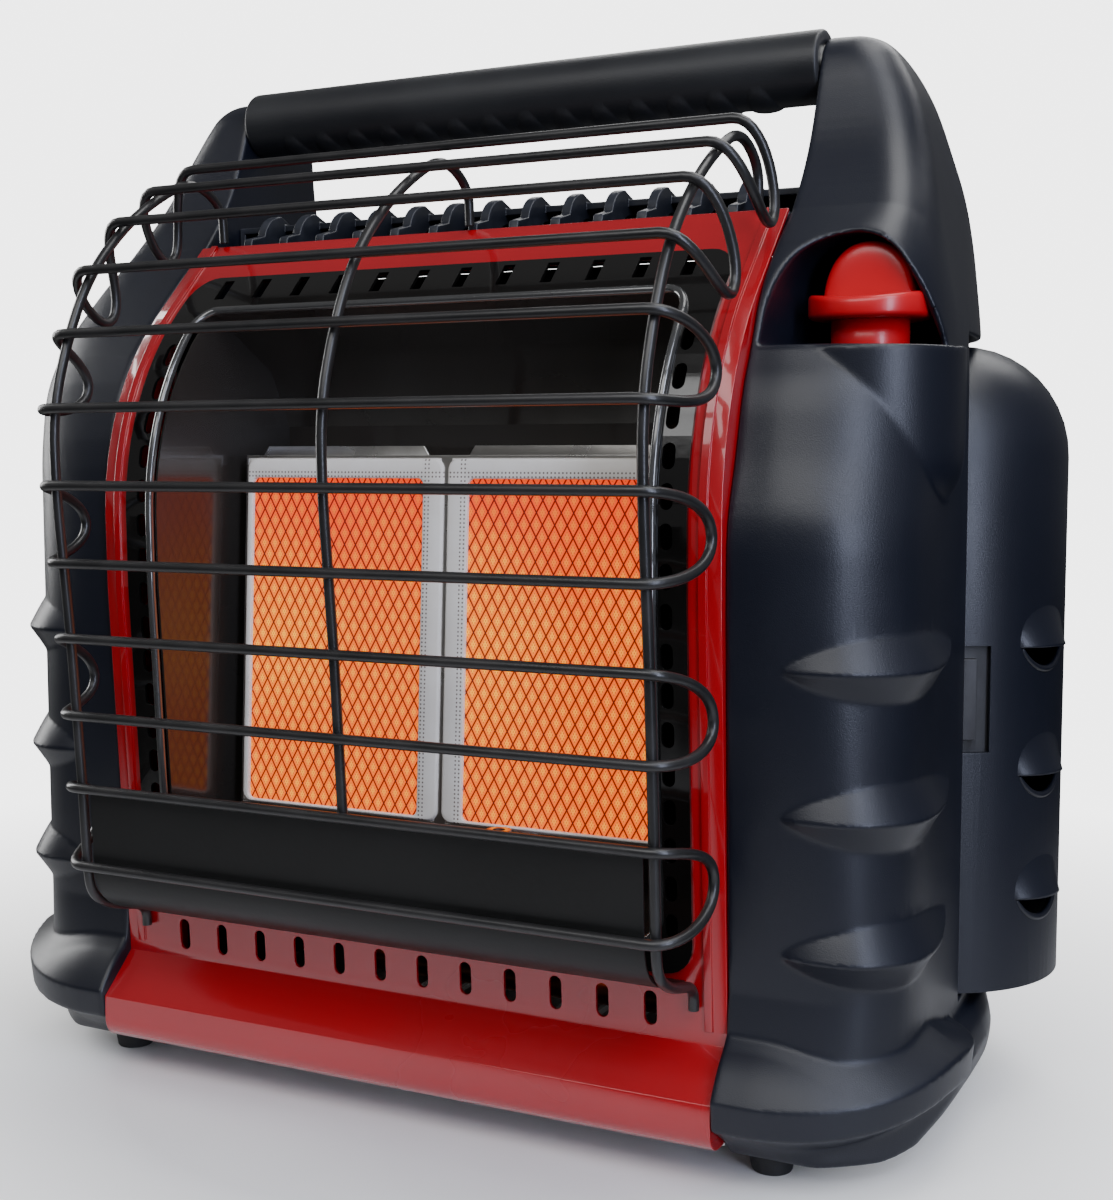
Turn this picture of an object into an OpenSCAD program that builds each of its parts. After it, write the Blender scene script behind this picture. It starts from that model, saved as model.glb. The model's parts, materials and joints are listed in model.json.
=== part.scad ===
// Portable two-burner propane heater: enamelled steel casing between two plastic
// side covers, with a wire guard, a control knob and swing-out cylinder covers.
// +X is to the right seen from the front, +Y to the back, +Z up.
// The origin is on the floor, below the middle of the heater's box.

/* [Overall] */
// Height of the handle's top above the floor
height = 432; // [429:0.5:436]
// Depth of the body, front panel plane to back face
body_d = 208; // [206:0.5:212]
// Width of the casing between the side covers
casing_w = 276; // [272:0.5:282]
// Width of one side cover, at mid height
cover_w = 66; // [65:0.5:67]
// How far the base flares out past the side cover
base_flare = 12; // [8:0.5:13]
// How far the guard stands in front of the front panel plane
guard_reach = 57; // [54:0.5:64]

/* [Sheet and walls] */
// Thickness of the casing sheets
sheet = 1.5; // [1:0.1:1.8]
// Thickness of the reflector and shield sheets
thin_sheet = 1; // [0.8:0.1:1.3]
// Wall of the side covers
wall = 3; // [2.4:0.1:3.4]
// Wall of the cylinder covers
door_wall = 2.5; // [2:0.1:2.8]
// Gap between pieces that lie side by side
fit = 0.3; // [0.2:0.05:0.4]
// Radial gap of pins and shafts that turn in a bore
running = 0.05; // [0.03:0.01:0.08]

/* [Casing front] */
// Height of the underside of the nose
nose_z = 14; // [13:0.5:16]
// How far the nose bulges forward
nose_out = 16; // [12:0.5:19]
// Height of the crease above the nose
crease_z = 46; // [44:0.5:48]
// Height at which the front starts to curve back
bend_z = 238; // [234:1:242]
// Forward lean of the front between crease and bend
lean = 10; // [7:0.5:11]
// Radius of the bend to the sloping top
bend_r = 120; // [112:1:124]
// Slope of the top from the vertical, in degrees
top_slope = 45; // [43:0.5:46]
// Height of the casing's rear top edge
top_edge_z = 356; // [353:0.5:358]
// Number of slots across the casing, below and above the opening
slot_count = 12; // [10:1:12]
// Pitch of those slots
slot_pitch = 19.6; // [17:0.1:20]
// Width of a slot
slot_w = 5; // [4:0.25:5.5]
// Height of an intake slot
intake_slot_l = 13; // [10:0.5:15]
// Height of the intake slots' centres
intake_slot_z = 59.5; // [58.5:0.25:60.5]

/* [Surround and reflector] */
// Half width of the enamel surround
surround_half = 125.5; // [124.5:0.25:126.5]
// Lower edge of the surround
surround_z0 = 74; // [73.5:0.25:76]
// Upper edge of the surround
surround_z1 = 340; // [338:0.5:342]
// Half width of the opening
mouth_half = 112; // [110.5:0.25:112.5]
// Lower edge of the opening
mouth_z0 = 85; // [84:0.25:87]
// Upper edge of the opening
mouth_z1 = 324; // [321:0.5:325]
// Corner radius of the opening
mouth_r = 9; // [6:0.5:12]
// Length of a slot in the surround
surround_slot_l = 9.5; // [8:0.5:11]
// Pitch of the slots down the sides
side_slot_pitch = 14.2; // [13.5:0.1:15]
// Depth of the reflector's back wall behind the front panel plane
cavity_back = 77; // [76.5:0.25:79]
// Half width of the reflector at its back wall
cavity_back_half = 104; // [103.5:0.25:105]
// Height of the reflector's back wall
cavity_back_z = 276; // [273:0.5:278]

/* [Burners] */
// Width of one ceramic plaque
plaque_w = 96; // [94:0.5:97]
// Height of one ceramic plaque
plaque_h = 149; // [144:0.5:150]
// Thickness of a plaque
plaque_t = 13; // [11:0.5:14]
// Gap between the two plaques
plaque_gap = 6; // [5:0.5:8]
// Height of the plaques' centre
burner_z = 187; // [186:0.25:188]
// Depth of the plaques' face behind the front panel plane
burner_y = 36; // [34:0.5:37]
// Backward lean of the plaques, in degrees
burner_tilt = 3; // [2:0.25:3.5]
// Depth of a plenum behind its plaque
plenum_d = 21; // [18:0.5:22]
// Outer diameter of a mixer tube
mixer_d = 22; // [18:0.5:23]

/* [Guard] */
// Diameter of the guard wire
wire_d = 4; // [3.6:0.1:4.2]
// Half distance between the outer uprights
upright_half = 126; // [125:0.25:127]
// How far a ring's rounded end stands past its upright
ring_end_out = 12.5; // [11:0.25:14]

/* [Handle] */
// Diameter of the grip
grip_d = 29; // [27:0.5:30]
// Distance of the grip's axis behind the front panel plane
grip_y = 105; // [103:0.5:108]
// Outer diameter of the steel tube in the grip
tube_d = 16; // [14:0.5:18]
// How far the tube reaches into each post
tube_reach = 14; // [12:0.5:16]

/* [Control knob] */
// Distance of the knob's axis outside the casing's side
knob_out = 32; // [31:0.25:33]
// Distance of the knob's axis in front of the cylinder bay
knob_back = 31.35; // [31.35:0.05:32]
// Diameter of the knob's flange
knob_d = 46; // [42:0.5:47]
// Diameter of the knob's stem
knob_stem_d = 29; // [26:0.5:30]
// Height of the shelf that the knob stands in
shelf_z = 302; // [300:0.5:303]
// Height of the knob above the shelf
knob_h = 40; // [36:0.5:40]
// How far the knob presses in
knob_travel = 4; // [2:0.25:4]
// Half width of the knob's niche
niche_half = 33; // [30:0.5:34]

/* [Cylinder covers] */
// Diameter of the cylinder that hangs in the bay
cylinder_d = 99; // [97:0.5:100]
// Outer radius of a cylinder cover
door_r = 55.5; // [55:0.25:57]
// Distance of the cover's centre outside the casing's side
door_out = 34.5; // [34:0.25:36]
// Distance of the cover's centre in front of the back face
door_back = 63; // [62.5:0.25:64]
// Height of the cover's lower edge
door_z0 = 50; // [49.5:0.25:52]
// Height at which the cover's dome starts
door_shoulder_z = 262; // [258:0.5:266]
// Height of the dome's top
door_top_z = 307.5; // [306:0.25:308]
// Angle of the cover's front edge from +X, in degrees
door_front_angle = -63; // [-64:0.25:-62]
// Angle of the cover's rear edge from +X, in degrees
door_rear_angle = 114; // [113:0.5:115]
// Diameter of a hinge pin
hinge_pin_d = 4; // [3:0.25:4.5]
// Length of a hinge knuckle on the cover
knuckle_l = 22; // [18:0.5:26]

/* [Regulators] */
// Wall radius of the cylinder inlet
inlet_r = 12.2; // [12:0.05:12.5]
// Depth of the cylinder inlet
inlet_l = 13; // [11:0.5:13.5]
// Height of the swivel's axis
swivel_z = 270; // [269:0.5:271]
// How far the inlet's mouth lies below the swivel's axis
inlet_drop = 28; // [27.5:0.5:29]
// Diameter of the swivel stub
stub_d = 12; // [10:0.5:13]

/* [Fan and batteries] */
// Diameter of the fan's impeller
fan_d = 84; // [76:1:90]
// Height of the fan's axis
fan_z = 250; // [244:1:256]
// Diameter of a battery cell
cell_d = 34.2; // [33:0.1:34.5]
// Length of a battery cell
cell_l = 61.5; // [60:0.1:62]

/* [Hidden] */
$fn = 48;
hull_fn = 32;

side_x = casing_w / 2;
cover_x = side_x + cover_w;
base_x = cover_x + base_flare;
panel_y = (guard_reach - body_d) / 2;
rear_skin = body_d - 3;

// The front panel plane lies at y = 0 in every module below this one.
module placed() {
    translate([0, panel_y, 0]) children();
}

module mirrored(side) {
    scale([side, 1, 1]) children();
}

// ---- outlines and paths ----------------------------------------------------

function unit(v) = v / norm(v);
function heading(p, i) = unit(p[min(i + 1, len(p) - 1)] - p[max(i - 1, 0)]);
// The path p moved sideways by t, to the right of its direction.
function beside(p, t) = [for (i = [0:len(p) - 1]) let (d = heading(p, i)) p[i] + t * [d[1], -d[0]]];
function backward(p) = [for (i = [len(p) - 1:-1:0]) p[i]];
// A strip of sheet between two sideways distances of a path.
function strip(p, t0, t1) = concat(beside(p, t0), backward(beside(p, t1)));
function arc(c, r, a0, a1, n) = [for (i = [0:n]) let (a = a0 + (a1 - a0) * i / n) c + r * [cos(a), sin(a)]];
function bezier(a, b, c, d, n) = [for (i = [0:n]) let (t = i / n, s = 1 - t)
    s * s * s * a + 3 * s * s * t * b + 3 * s * t * t * c + t * t * t * d];

// Draws a (y, z) outline between two x places.
module along_x(x0, x1) {
    translate([x0, 0, 0]) rotate([90, 0, 90]) linear_extrude(x1 - x0) children();
}

// Draws an (x, z) outline between two y places.
module along_y(y0, y1) {
    translate([0, y1, 0]) rotate([90, 0, 0]) linear_extrude(y1 - y0) children();
}

module rounded(w, h, r) {
    polygon([for (q = [0:3], i = [0:6]) let (a = 90 * q + 15 * i)
        [(q == 0 || q == 3 ? 1 : -1) * (w / 2 - r), (q < 2 ? 1 : -1) * (h / 2 - r)] + r * [cos(a), sin(a)]]);
}

module oblong(w, l) {
    polygon(concat(arc([0, (l - w) / 2], w / 2, 0, 180, 8), arc([0, (w - l) / 2], w / 2, 180, 360, 8)));
}

// A ring of points round each point of a path: a round bar of diameter d.
function across(t) = abs(t[0]) < 0.9 ? unit(cross(t, [1, 0, 0])) : unit(cross(t, [0, 0, 1]));
function heading3(p, i, closed) = closed
    ? unit(p[(i + 1) % len(p)] - p[(i + len(p) - 1) % len(p)])
    : unit(p[min(i + 1, len(p) - 1)] - p[max(i - 1, 0)]);
bar_sides = 8;
module bar(p, d, closed = false) {
    n = len(p);
    pts = [for (i = [0:n - 1], k = [0:bar_sides - 1])
        let (t = heading3(p, i, closed), u = across(t), v = cross(t, u), a = 360 * k / bar_sides)
        p[i] + d / 2 * (cos(a) * u + sin(a) * v)];
    walls = [for (i = [0:(closed ? n - 1 : n - 2)], k = [0:bar_sides - 1])
        let (j = (i + 1) % n, m = (k + 1) % bar_sides)
        each [[i * bar_sides + k, i * bar_sides + m, j * bar_sides + m],
            [i * bar_sides + k, j * bar_sides + m, j * bar_sides + k]]];
    caps = closed ? [] : [[for (k = [bar_sides - 1:-1:0]) k],
        [for (k = [0:bar_sides - 1]) (n - 1) * bar_sides + k]];
    polyhedron(pts, concat(walls, caps));
}

// A round tube or lead along straight runs, with a ball at each corner.
module lead(p, d) {
    for (i = [0:len(p) - 2]) {
        run = p[i + 1] - p[i];
        translate(p[i]) rotate([0, acos(run[2] / norm(run)), atan2(run[1], run[0])])
            cylinder(d = d, h = norm(run));
    }
    for (i = [1:len(p) - 2]) translate(p[i]) sphere(d = d);
}

module screw(head_d, head_h, shank_d, shank_l) {
    cylinder(d = head_d, h = head_h);
    translate([0, 0, -shank_l]) cylinder(d = shank_d, h = shank_l);
}

// ---- casing ----------------------------------------------------------------

lean_y = 1 - lean;
bend_end = [lean_y + bend_r * (1 - cos(top_slope)), bend_z + bend_r * sin(top_slope)];
top_edge = [bend_end[0] + (top_edge_z - bend_end[1]) * tan(top_slope), top_edge_z];
nose_r = 9;
// Side outline of the casing's front, from under the nose up to its rear top edge.
front_path = concat(
    [[24, nose_z]],
    arc([nose_r - nose_out, nose_z + nose_r], nose_r, 270, 180, 6),
    [[-nose_out, crease_z - 13], [-3.5, crease_z - 1.5], [1, crease_z + 3], [0.9, crease_z + 8]],
    [[lean_y + 0.4, bend_z - 30]],
    arc([lean_y + bend_r, bend_z], bend_r, 180, 180 - top_slope, 12),
    [top_edge]);
// Depth of the front at a height, on the leaning stretch and the bend.
function front_y(z) = z < bend_z - 30
    ? 0.9 + (lean_y - 0.5) * (z - crease_z - 8) / (bend_z - 38 - crease_z)
    : z < bend_z ? lean_y + 0.4 * (bend_z - z) / 30
    : z < bend_end[1]
        ? lean_y + bend_r * (1 - cos(asin(max(0, z - bend_z) / bend_r)))
        : bend_end[0] + (z - bend_end[1]) * tan(top_slope);
function slot_x(i) = (i - (slot_count - 1) / 2) * slot_pitch;
flange_d = 38;
bead_x = side_x - 7;

module casing_sides(x0, x1) {
    along_x(x0, x1) difference() {
        polygon(concat([[flange_d, nose_z]], front_path, [[flange_d + top_edge[0], top_edge_z]]));
        translate([flange_d, nose_z - 1]) square([2 * flange_d, bend_end[1] - nose_z]);
    }
}

module front_casing() {
    color("firebrick") placed() {
        difference() {
            union() {
                along_x(-side_x, side_x) polygon(strip(front_path, 0, sheet));
                for (s = [-1, 1]) mirrored(s) {
                    intersection() {
                        casing_sides(side_x - sheet, side_x);
                        translate([0, -nose_out - 1, nose_z])
                            cube([side_x, flange_d + nose_out + 1, top_edge_z - nose_z]);
                    }
                    // Rolled bead down each edge of the front.
                    along_x(bead_x - 1.6, bead_x + 1.6)
                        polygon(strip([for (p = front_path) if (p[1] > crease_z + 6) p], -1, 0.2));
                }
            }
            translate([0, 0, (surround_z0 + surround_z1) / 2]) along_y(-nose_out - 1, top_edge[0] + 1)
                rounded(2 * surround_half - 6, surround_z1 - surround_z0 - 6, mouth_r);
            for (i = [0:slot_count - 1]) translate([slot_x(i), 0, intake_slot_z])
                along_y(-nose_out, nose_out) oblong(slot_w, intake_slot_l);
        }
    }
}

surround_path = [for (p = front_path) if (p[1] > crease_z + 6) p];
side_slot_x = (surround_half + mouth_half) / 2 - 1.3;
side_slot_top = mouth_z1 - 19;
side_slot_n = floor((side_slot_top - mouth_z0 - 6) / side_slot_pitch);
top_slot_z = (surround_z1 + mouth_z1) / 2 + 0.8;
lip_gap = 0.3;

module enamel_surround() {
    color("black") placed() difference() {
        intersection() {
            along_x(-surround_half, surround_half) polygon(strip(surround_path, -sheet, 0));
            translate([0, 0, (surround_z0 + surround_z1) / 2]) along_y(-nose_out, top_edge[0] + 5)
                rounded(2 * surround_half, surround_z1 - surround_z0, mouth_r + 2);
        }
        translate([0, 0, (mouth_z0 + mouth_z1) / 2]) along_y(-nose_out - 1, top_edge[0] + 6)
            rounded(2 * mouth_half, mouth_z1 - mouth_z0, mouth_r);
        for (i = [0:slot_count - 1])
            translate([slot_x(i), front_y(top_slot_z), top_slot_z]) rotate([top_slope, 0, 0])
                along_y(-6, 6) oblong(slot_w, surround_slot_l + 2);
        for (s = [-1, 1], i = [0:side_slot_n])
            translate([s * side_slot_x, 0, side_slot_top - i * side_slot_pitch])
                along_y(-nose_out, top_edge[0]) oblong(slot_w, surround_slot_l);
    }
}

cavity_front = -nose_out - 4;
cavity_outline = [[cavity_front, mouth_z0], [cavity_back, mouth_z0], [cavity_back, cavity_back_z],
    [cavity_back - 12, cavity_back_z + 24], [front_y(mouth_z1) + lip_gap, mouth_z1], [cavity_front, mouth_z1]];

module cavity(grow) {
    intersection() {
        along_x(-mouth_half - 9, mouth_half + 9) offset(delta = grow) polygon(cavity_outline);
        translate([0, 0, mouth_z0 - 9]) linear_extrude(mouth_z1 - mouth_z0 + 18)
            polygon([for (s = [-1, 1], e = s < 0 ? [0, 1] : [1, 0])
                [s * ((e == 0 ? mouth_half : cavity_back_half) + grow), e == 0 ? cavity_front - 4 : cavity_back + 9]]);
    }
}

mixer_x = plaque_gap / 2 + plaque_w / 2;
mixer_y = burner_y + plaque_t + plenum_d / 2 + 1;

module reflector_box() {
    color("dimgray") placed() difference() {
        intersection() {
            cavity(thin_sheet);
            along_x(-mouth_half - 9, mouth_half + 9)
                polygon(concat([[body_d, 0]], [for (z = [mouth_z0 - 5:10:mouth_z1 + 8])
                    [front_y(z) + lip_gap, z]], [[body_d, mouth_z1 + 8]]));
        }
        cavity(0);
        for (s = [-1, 1]) translate([s * mixer_x, mixer_y, mouth_z0 - 9])
            cylinder(d = mixer_d + 2 * fit, h = 20);
        translate([pilot_x, pilot_y, mouth_z0 - 9]) rounded_hole();
    }
}

module rounded_hole() {
    linear_extrude(20) rounded(34, 14, 3);
}

// Path of the lower black shield, from its upper edge back under to the casing.
shield_top = [-guard_reach + wire_d + 13, mouth_z0 + 43];
shield_path = backward(concat(
    [[front_y(70) - fit, 71]],
    bezier([-14, 73], [-26, 76], [shield_top[0] + 1, 80], [shield_top[0] + 1.5, 98], 8),
    [shield_top]));

module heat_shield() {
    color("black") placed() along_x(-upright_half + 4, upright_half - 4)
        polygon(strip(shield_path, 0, -thin_sheet));
}

// ---- burners ---------------------------------------------------------------

module burner_pose() {
    translate([0, burner_y, burner_z]) rotate([-burner_tilt, 0, 0]) children();
}

frame_t = 1.2;
plaque_x = plaque_gap / 2 + plaque_w / 2;
frame_half = plaque_gap / 2 + plaque_w + fit + frame_t;
plenum_w = plaque_w + 2 * fit;

module plaque(side) {
    color("moccasin") placed() burner_pose() translate([side * plaque_x, 0, 0])
        along_y(0, plaque_t) rounded(plaque_w, plaque_h, 5);
}

module plenum_block(side, grow) {
    translate([side * plaque_x, 0, 0]) along_y(plaque_t, plaque_t + plenum_d)
        offset(delta = grow) square([plenum_w, plaque_h], center = true);
}

module burner_plenum(side) {
    color("silver") placed() burner_pose() difference() {
        plenum_block(side, 0);
        translate([side * plaque_x, 0, 0]) along_y(plaque_t - 1, plaque_t + plenum_d - thin_sheet)
            square([plenum_w - 2 * thin_sheet, plaque_h - 2 * thin_sheet], center = true);
        translate([side * plaque_x, plaque_t + plenum_d / 2 + 1, -plaque_h / 2 - 5])
            cylinder(d = mixer_d - 4, h = 10);
    }
}

tab_half = plaque_w / 2 - 6;
tab_h = 4 + frame_t / 2;
module burner_frame() {
    color("gainsboro") placed() burner_pose() {
        along_y(-0.6, plaque_t) difference() {
            square([2 * frame_half, plaque_h + 2 * (fit + frame_t)], center = true);
            for (s = [-1, 1]) translate([s * plaque_x, 0])
                square([plaque_w + 2 * fit, plaque_h + 2 * fit], center = true);
        }
        // Tabs that stand up along the top edge, rooted in the strip.
        for (s = [-1, 1]) translate([s * plaque_x, 0, plaque_h / 2 + fit + frame_t / 2])
            along_y(1, 1 + frame_t)
                polygon([[-tab_half, 0], [3 - tab_half, tab_h], [tab_half - 3, tab_h], [tab_half, 0]]);
    }
}

module mixer_tube(side) {
    color("silver") placed() difference() {
        translate([side * mixer_x, mixer_y, jet_z + 4]) difference() {
            union() {
                cylinder(d = mixer_d, h = burner_z - plaque_h / 2 - jet_z - 4 + 3);
                cylinder(d = mixer_d + 6, h = 3);
            }
            translate([0, 0, -1]) cylinder(d = mixer_d - 3, h = burner_z);
        }
        burner_pose() plenum_block(side, 0);
    }
}

manifold_d = 10;
manifold_z = 41;
jet_z = manifold_z + manifold_d / 2 + 12;

module gas_jets() {
    color("goldenrod") placed() for (s = [-1, 1]) translate([s * mixer_x, mixer_y, manifold_z])
        difference() {
            translate([0, 0, manifold_d / 2 - 1]) {
                cylinder(d = 9, h = 9, $fn = 6);
                cylinder(d = 6, h = 13);
            }
            cylinder(d = manifold_d, h = 1, center = true);
            rotate([0, 90, 0]) cylinder(d = manifold_d, h = 20, center = true);
            cylinder(d = 1.2, h = 40);
        }
}

// ---- gas train ---------------------------------------------------------------

door_x = side_x + door_out;
door_y = body_d - door_back;
bay_y0 = door_y + door_r * sin(door_front_angle) - 4.2;
knob_x = side_x + knob_out;
knob_y = bay_y0 - knob_back;
inlet_z = swivel_z - inlet_drop;
valve_w = 34;
valve_z0 = 236;
valve_z1 = shelf_z - 20;
swivel_x = side_x + door_out - 17;
rail_y = knob_y + valve_w / 2 + 6.2;
rail_d = 9;

module gas_manifold() {
    y = mixer_y;
    color("peru") placed() {
        lead([[-mixer_x - 12, y, manifold_z], [knob_x, y, manifold_z], [knob_x, y, valve_z0]], manifold_d);
        translate([knob_x, y, valve_z0 - 8]) cylinder(d = 15, h = 8, $fn = 6);
    }
}

module supply_manifold() {
    tap_x = knob_x - valve_w / 2 + rail_d / 2 + 1;
    color("peru") placed() {
        lead([[-swivel_x, rail_y, swivel_z], [tap_x, rail_y, swivel_z]], rail_d);
        for (s = [-1, 1]) translate([s * swivel_x, rail_y, swivel_z]) {
            sphere(d = stub_d);
            rotate([-90, 0, 0]) cylinder(d = stub_d, h = nut_y - rail_y + 5);
        }
        translate([tap_x, knob_y + valve_w / 2, swivel_z]) rotate([-90, 0, 0])
            cylinder(d = rail_d, h = rail_y - knob_y - valve_w / 2);
        translate([tap_x, rail_y, swivel_z]) sphere(d = rail_d);
    }
}

hub_y0 = door_y - 15;
hub_l = 32;
nut_y = hub_y0 + hub_l + fit;

module swivel_nuts() {
    color("goldenrod") placed() for (s = [-1, 1]) translate([s * swivel_x, nut_y, swivel_z])
        rotate([-90, 0, 0]) difference() {
            cylinder(d = stub_d + 8, h = 5, $fn = 6);
            translate([0, 0, -1]) cylinder(d = stub_d, h = 7);
        }
}

module regulator(side) {
    color("silver") placed() mirrored(side) difference() {
        union() {
            translate([swivel_x, hub_y0, swivel_z]) rotate([-90, 0, 0])
                cylinder(d = stub_d + 12, h = hub_l);
            translate([door_x, door_y, inlet_z]) {
                cylinder(r = inlet_r + 4.5, h = swivel_z - inlet_z);
                translate([0, 0, swivel_z - inlet_z - 8]) cylinder(d = 2 * inlet_r + 6, h = 18);
                translate([0, 0, swivel_z - inlet_z + 10]) cylinder(d = 22, h = 4);
            }
        }
        translate([door_x, door_y, inlet_z - 1]) cylinder(r = inlet_r, h = inlet_l + 1);
        translate([door_x, door_y, inlet_z]) cylinder(d = 3, h = swivel_z - inlet_z - stub_d / 2 - 1);
        translate([swivel_x, hub_y0 - 1, swivel_z]) rotate([-90, 0, 0])
            cylinder(d = stub_d + 2 * running, h = hub_l + 2);
    }
}

spindle_d = 8;
bonnet_h = 2;
collar_h = 6;
spring_z0 = valve_z1 + bonnet_h;
spring_z1 = shelf_z - 2 - collar_h;

module valve_body() {
    color("goldenrod") placed() difference() {
        union() {
            translate([knob_x - valve_w / 2, knob_y - valve_w / 2, valve_z0])
                cube([valve_w, valve_w, valve_z1 - valve_z0]);
            translate([knob_x, knob_y, valve_z1]) cylinder(d = 24, h = bonnet_h);
            for (s = [-1, 1]) translate([knob_x + s * (valve_w / 2 + 5), knob_y, valve_z1 - 5])
                cylinder(d = 10, h = 5);
            translate([knob_x - valve_w / 2 - 5, knob_y - 5, valve_z1 - 5]) cube([valve_w + 10, 10, 5]);
            // Igniter barrel on the valve's front.
            translate([knob_x + 8, knob_y - valve_w / 2 - 6, valve_z0 + 8]) cylinder(d = 12, h = 34);
            translate([knob_x + 2, knob_y - valve_w / 2 - 6, valve_z0 + 12]) cube([12, 8, 24]);
        }
        translate([knob_x, knob_y, valve_z0 + 14]) cylinder(d = spindle_d + 2 * running, h = 60);
    }
}

spring_turns = 4;
spring_wire = 0.9;
spring_sides = 14;
module return_spring() {
    r = spindle_d / 2 + 1.6;
    z0 = spring_z0 + spring_wire / 2 + 0.1;
    rise = spring_z1 - spring_z0 - spring_wire - 0.3;
    color("silver") placed() bar([for (i = [0:spring_turns * spring_sides])
        let (a = 360 * i / spring_sides, t = i / (spring_turns * spring_sides))
        [knob_x + r * cos(a), knob_y + r * sin(a), z0 + rise * t]], spring_wire);
}

module spindle_collar() {
    color("gray") placed() translate([knob_x, knob_y, spring_z1]) difference() {
        cylinder(d = knob_stem_d - 5, h = collar_h);
        translate([0, 0, -1]) cylinder(d = spindle_d + 2 * running, h = collar_h + 2);
    }
}

knob_z = shelf_z - 2 + fit;
spindle_top = shelf_z + 24;

module valve_spindle() {
    color("silver") placed() translate([knob_x, knob_y, valve_z0 + 14 + knob_travel + 1])
        cylinder(d = spindle_d, h = spindle_top - valve_z0 - 15 - knob_travel);
}

module control_knob() {
    flange_z = shelf_z + 11;
    color("red") placed() difference() {
        union() {
            translate([knob_x, knob_y, knob_z]) cylinder(d = knob_stem_d, h = flange_z - knob_z);
            translate([knob_x, knob_y, flange_z]) cylinder(d = knob_d, h = 8);
            // Half-moon finger blade.
            translate([knob_x, knob_y, flange_z + 7]) intersection() {
                along_y(-5, 5) scale([1, (knob_h - 18) / (knob_d / 2 - 6)]) circle(r = knob_d / 2 - 6);
                translate([-knob_d, -knob_d, 0]) cube(2 * knob_d);
            }
        }
        translate([knob_x, knob_y, knob_z - 1]) cylinder(d = spindle_d, h = spindle_top - knob_z + 1);
    }
}

pilot_x = 34;
pilot_y = 20;
pilot_z = mouth_z0 + 30;
lead_z = 58;

module pilot_burner() {
    color("silver") placed() translate([pilot_x, pilot_y, mouth_z0]) difference() {
        union() {
            translate([-20, -9, 0]) cube([40, 18, 1.2]);
            translate([-14, 2, 1.2]) cube([28, 1.2, 14]);
            cylinder(d = 8, h = 24);
            translate([0, 0, 24]) cylinder(d = 10, h = 6);
        }
        translate([0, 0, -1]) cylinder(d = pilot_tube_d + 0.2, h = 12);
        translate([0, 0, 8]) cylinder(d = 5, h = 30);
        translate([pilot_side, 0, -1]) cylinder(d = 4 + 0.4, h = 4);
        translate([-pilot_side, 0, -1]) cylinder(d = 4 + 0.4, h = 4);
    }
}

pilot_tube_d = 4;
pilot_side = 12;
valve_front = knob_y - valve_w / 2;

module pilot_tube() {
    y = valve_front + 6;
    color("peru") placed() lead([[pilot_x, pilot_y, mouth_z0 + 8], [pilot_x, pilot_y, lead_z],
        [pilot_x, y, lead_z], [knob_x - 10, y, lead_z], [knob_x - 10, y, valve_z0]], pilot_tube_d);
}

module thermocouple() {
    x = pilot_x + pilot_side;
    y = valve_front + 9.5;
    z = lead_z - 8;
    color("silver") placed() {
        lead([[x, pilot_y, mouth_z0 + 2], [x, pilot_y, z], [x, y, z], [knob_x + 8, y, z],
            [knob_x + 8, y, valve_z0]], 2.4);
        translate([x, pilot_y, mouth_z0 + 1]) cylinder(d = 4, h = 25);
    }
}

module igniter_electrode() {
    x = pilot_x - pilot_side;
    y = flange_d + 5;
    z = lead_z + 12;
    color("white") placed() {
        lead([[x, pilot_y, mouth_z0], [x, pilot_y, z], [x, y, z], [knob_x + 8, y, z],
            [knob_x + 8, valve_front - 6, z], [knob_x + 8, valve_front - 6, valve_z0 + 8]], 2.6);
        translate([x, pilot_y, mouth_z0]) cylinder(d = 4, h = 18);
        translate([x, pilot_y, mouth_z0 + 18]) cylinder(d = 1.6, h = 10);
    }
}

// ---- guard -------------------------------------------------------------------

// Where each of the twelve horizontal wires crosses the uprights, as [y, z],
// measured from the guard's foremost wire line and the casing's rear top edge.
wire_front = -guard_reach + wire_d / 2;
guard_rows = [[90, 30], [65, 17.5], [43, 2], [22.5, -19.5], [9.3, -45.5], [0, -75],
    [0.2, -105], [3.4, -135.7], [6.6, -165.8], [9, -197.2], [11.3, -227.2], [13, -259.5]];
function row(i) = [wire_front + guard_rows[i][0], top_edge_z + guard_rows[i][1]];
// Tip of the rounded end of each closed ring, as [y, z] from the same lines.
ring_tips = [[93, -8], [54, -36], [38, -67], [35, -121], [38, -185], [40, -242]];
corner_x = upright_half - 2;

function ring_end(k) =
    let (a = row(2 * k), b = row(2 * k + 1),
        t = [wire_front + ring_tips[k][0], top_edge_z + ring_tips[k][1]],
        m = (a - b) * 0.42, x = upright_half + ring_end_out)
    concat(
        bezier([corner_x, a[0], a[1]], [x, a[0], a[1]], [x, t[0] + m[0], t[1] + m[1]], [x, t[0], t[1]], 8),
        [for (i = [1:8]) bezier([x, t[0], t[1]], [x, t[0] - m[0], t[1] - m[1]], [x, b[0], b[1]],
            [corner_x, b[0], b[1]], 8)[i]]);

module guard_rings() {
    color("black") placed() for (k = [0:5]) {
        end = ring_end(k);
        bar(concat(end, [for (p = backward(end)) [-p[0], p[1], p[2]]]), wire_d, true);
    }
}

// The line of an upright lies one wire diameter inside the rings.
wire_gap = 0.45;
function inside_row(i) =
    let (a = row(max(i - 1, 0)), b = row(min(i + 1, 11)), d = unit(b - a))
    row(i) + (wire_d + wire_gap) * [-d[1], d[0]];

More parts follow.
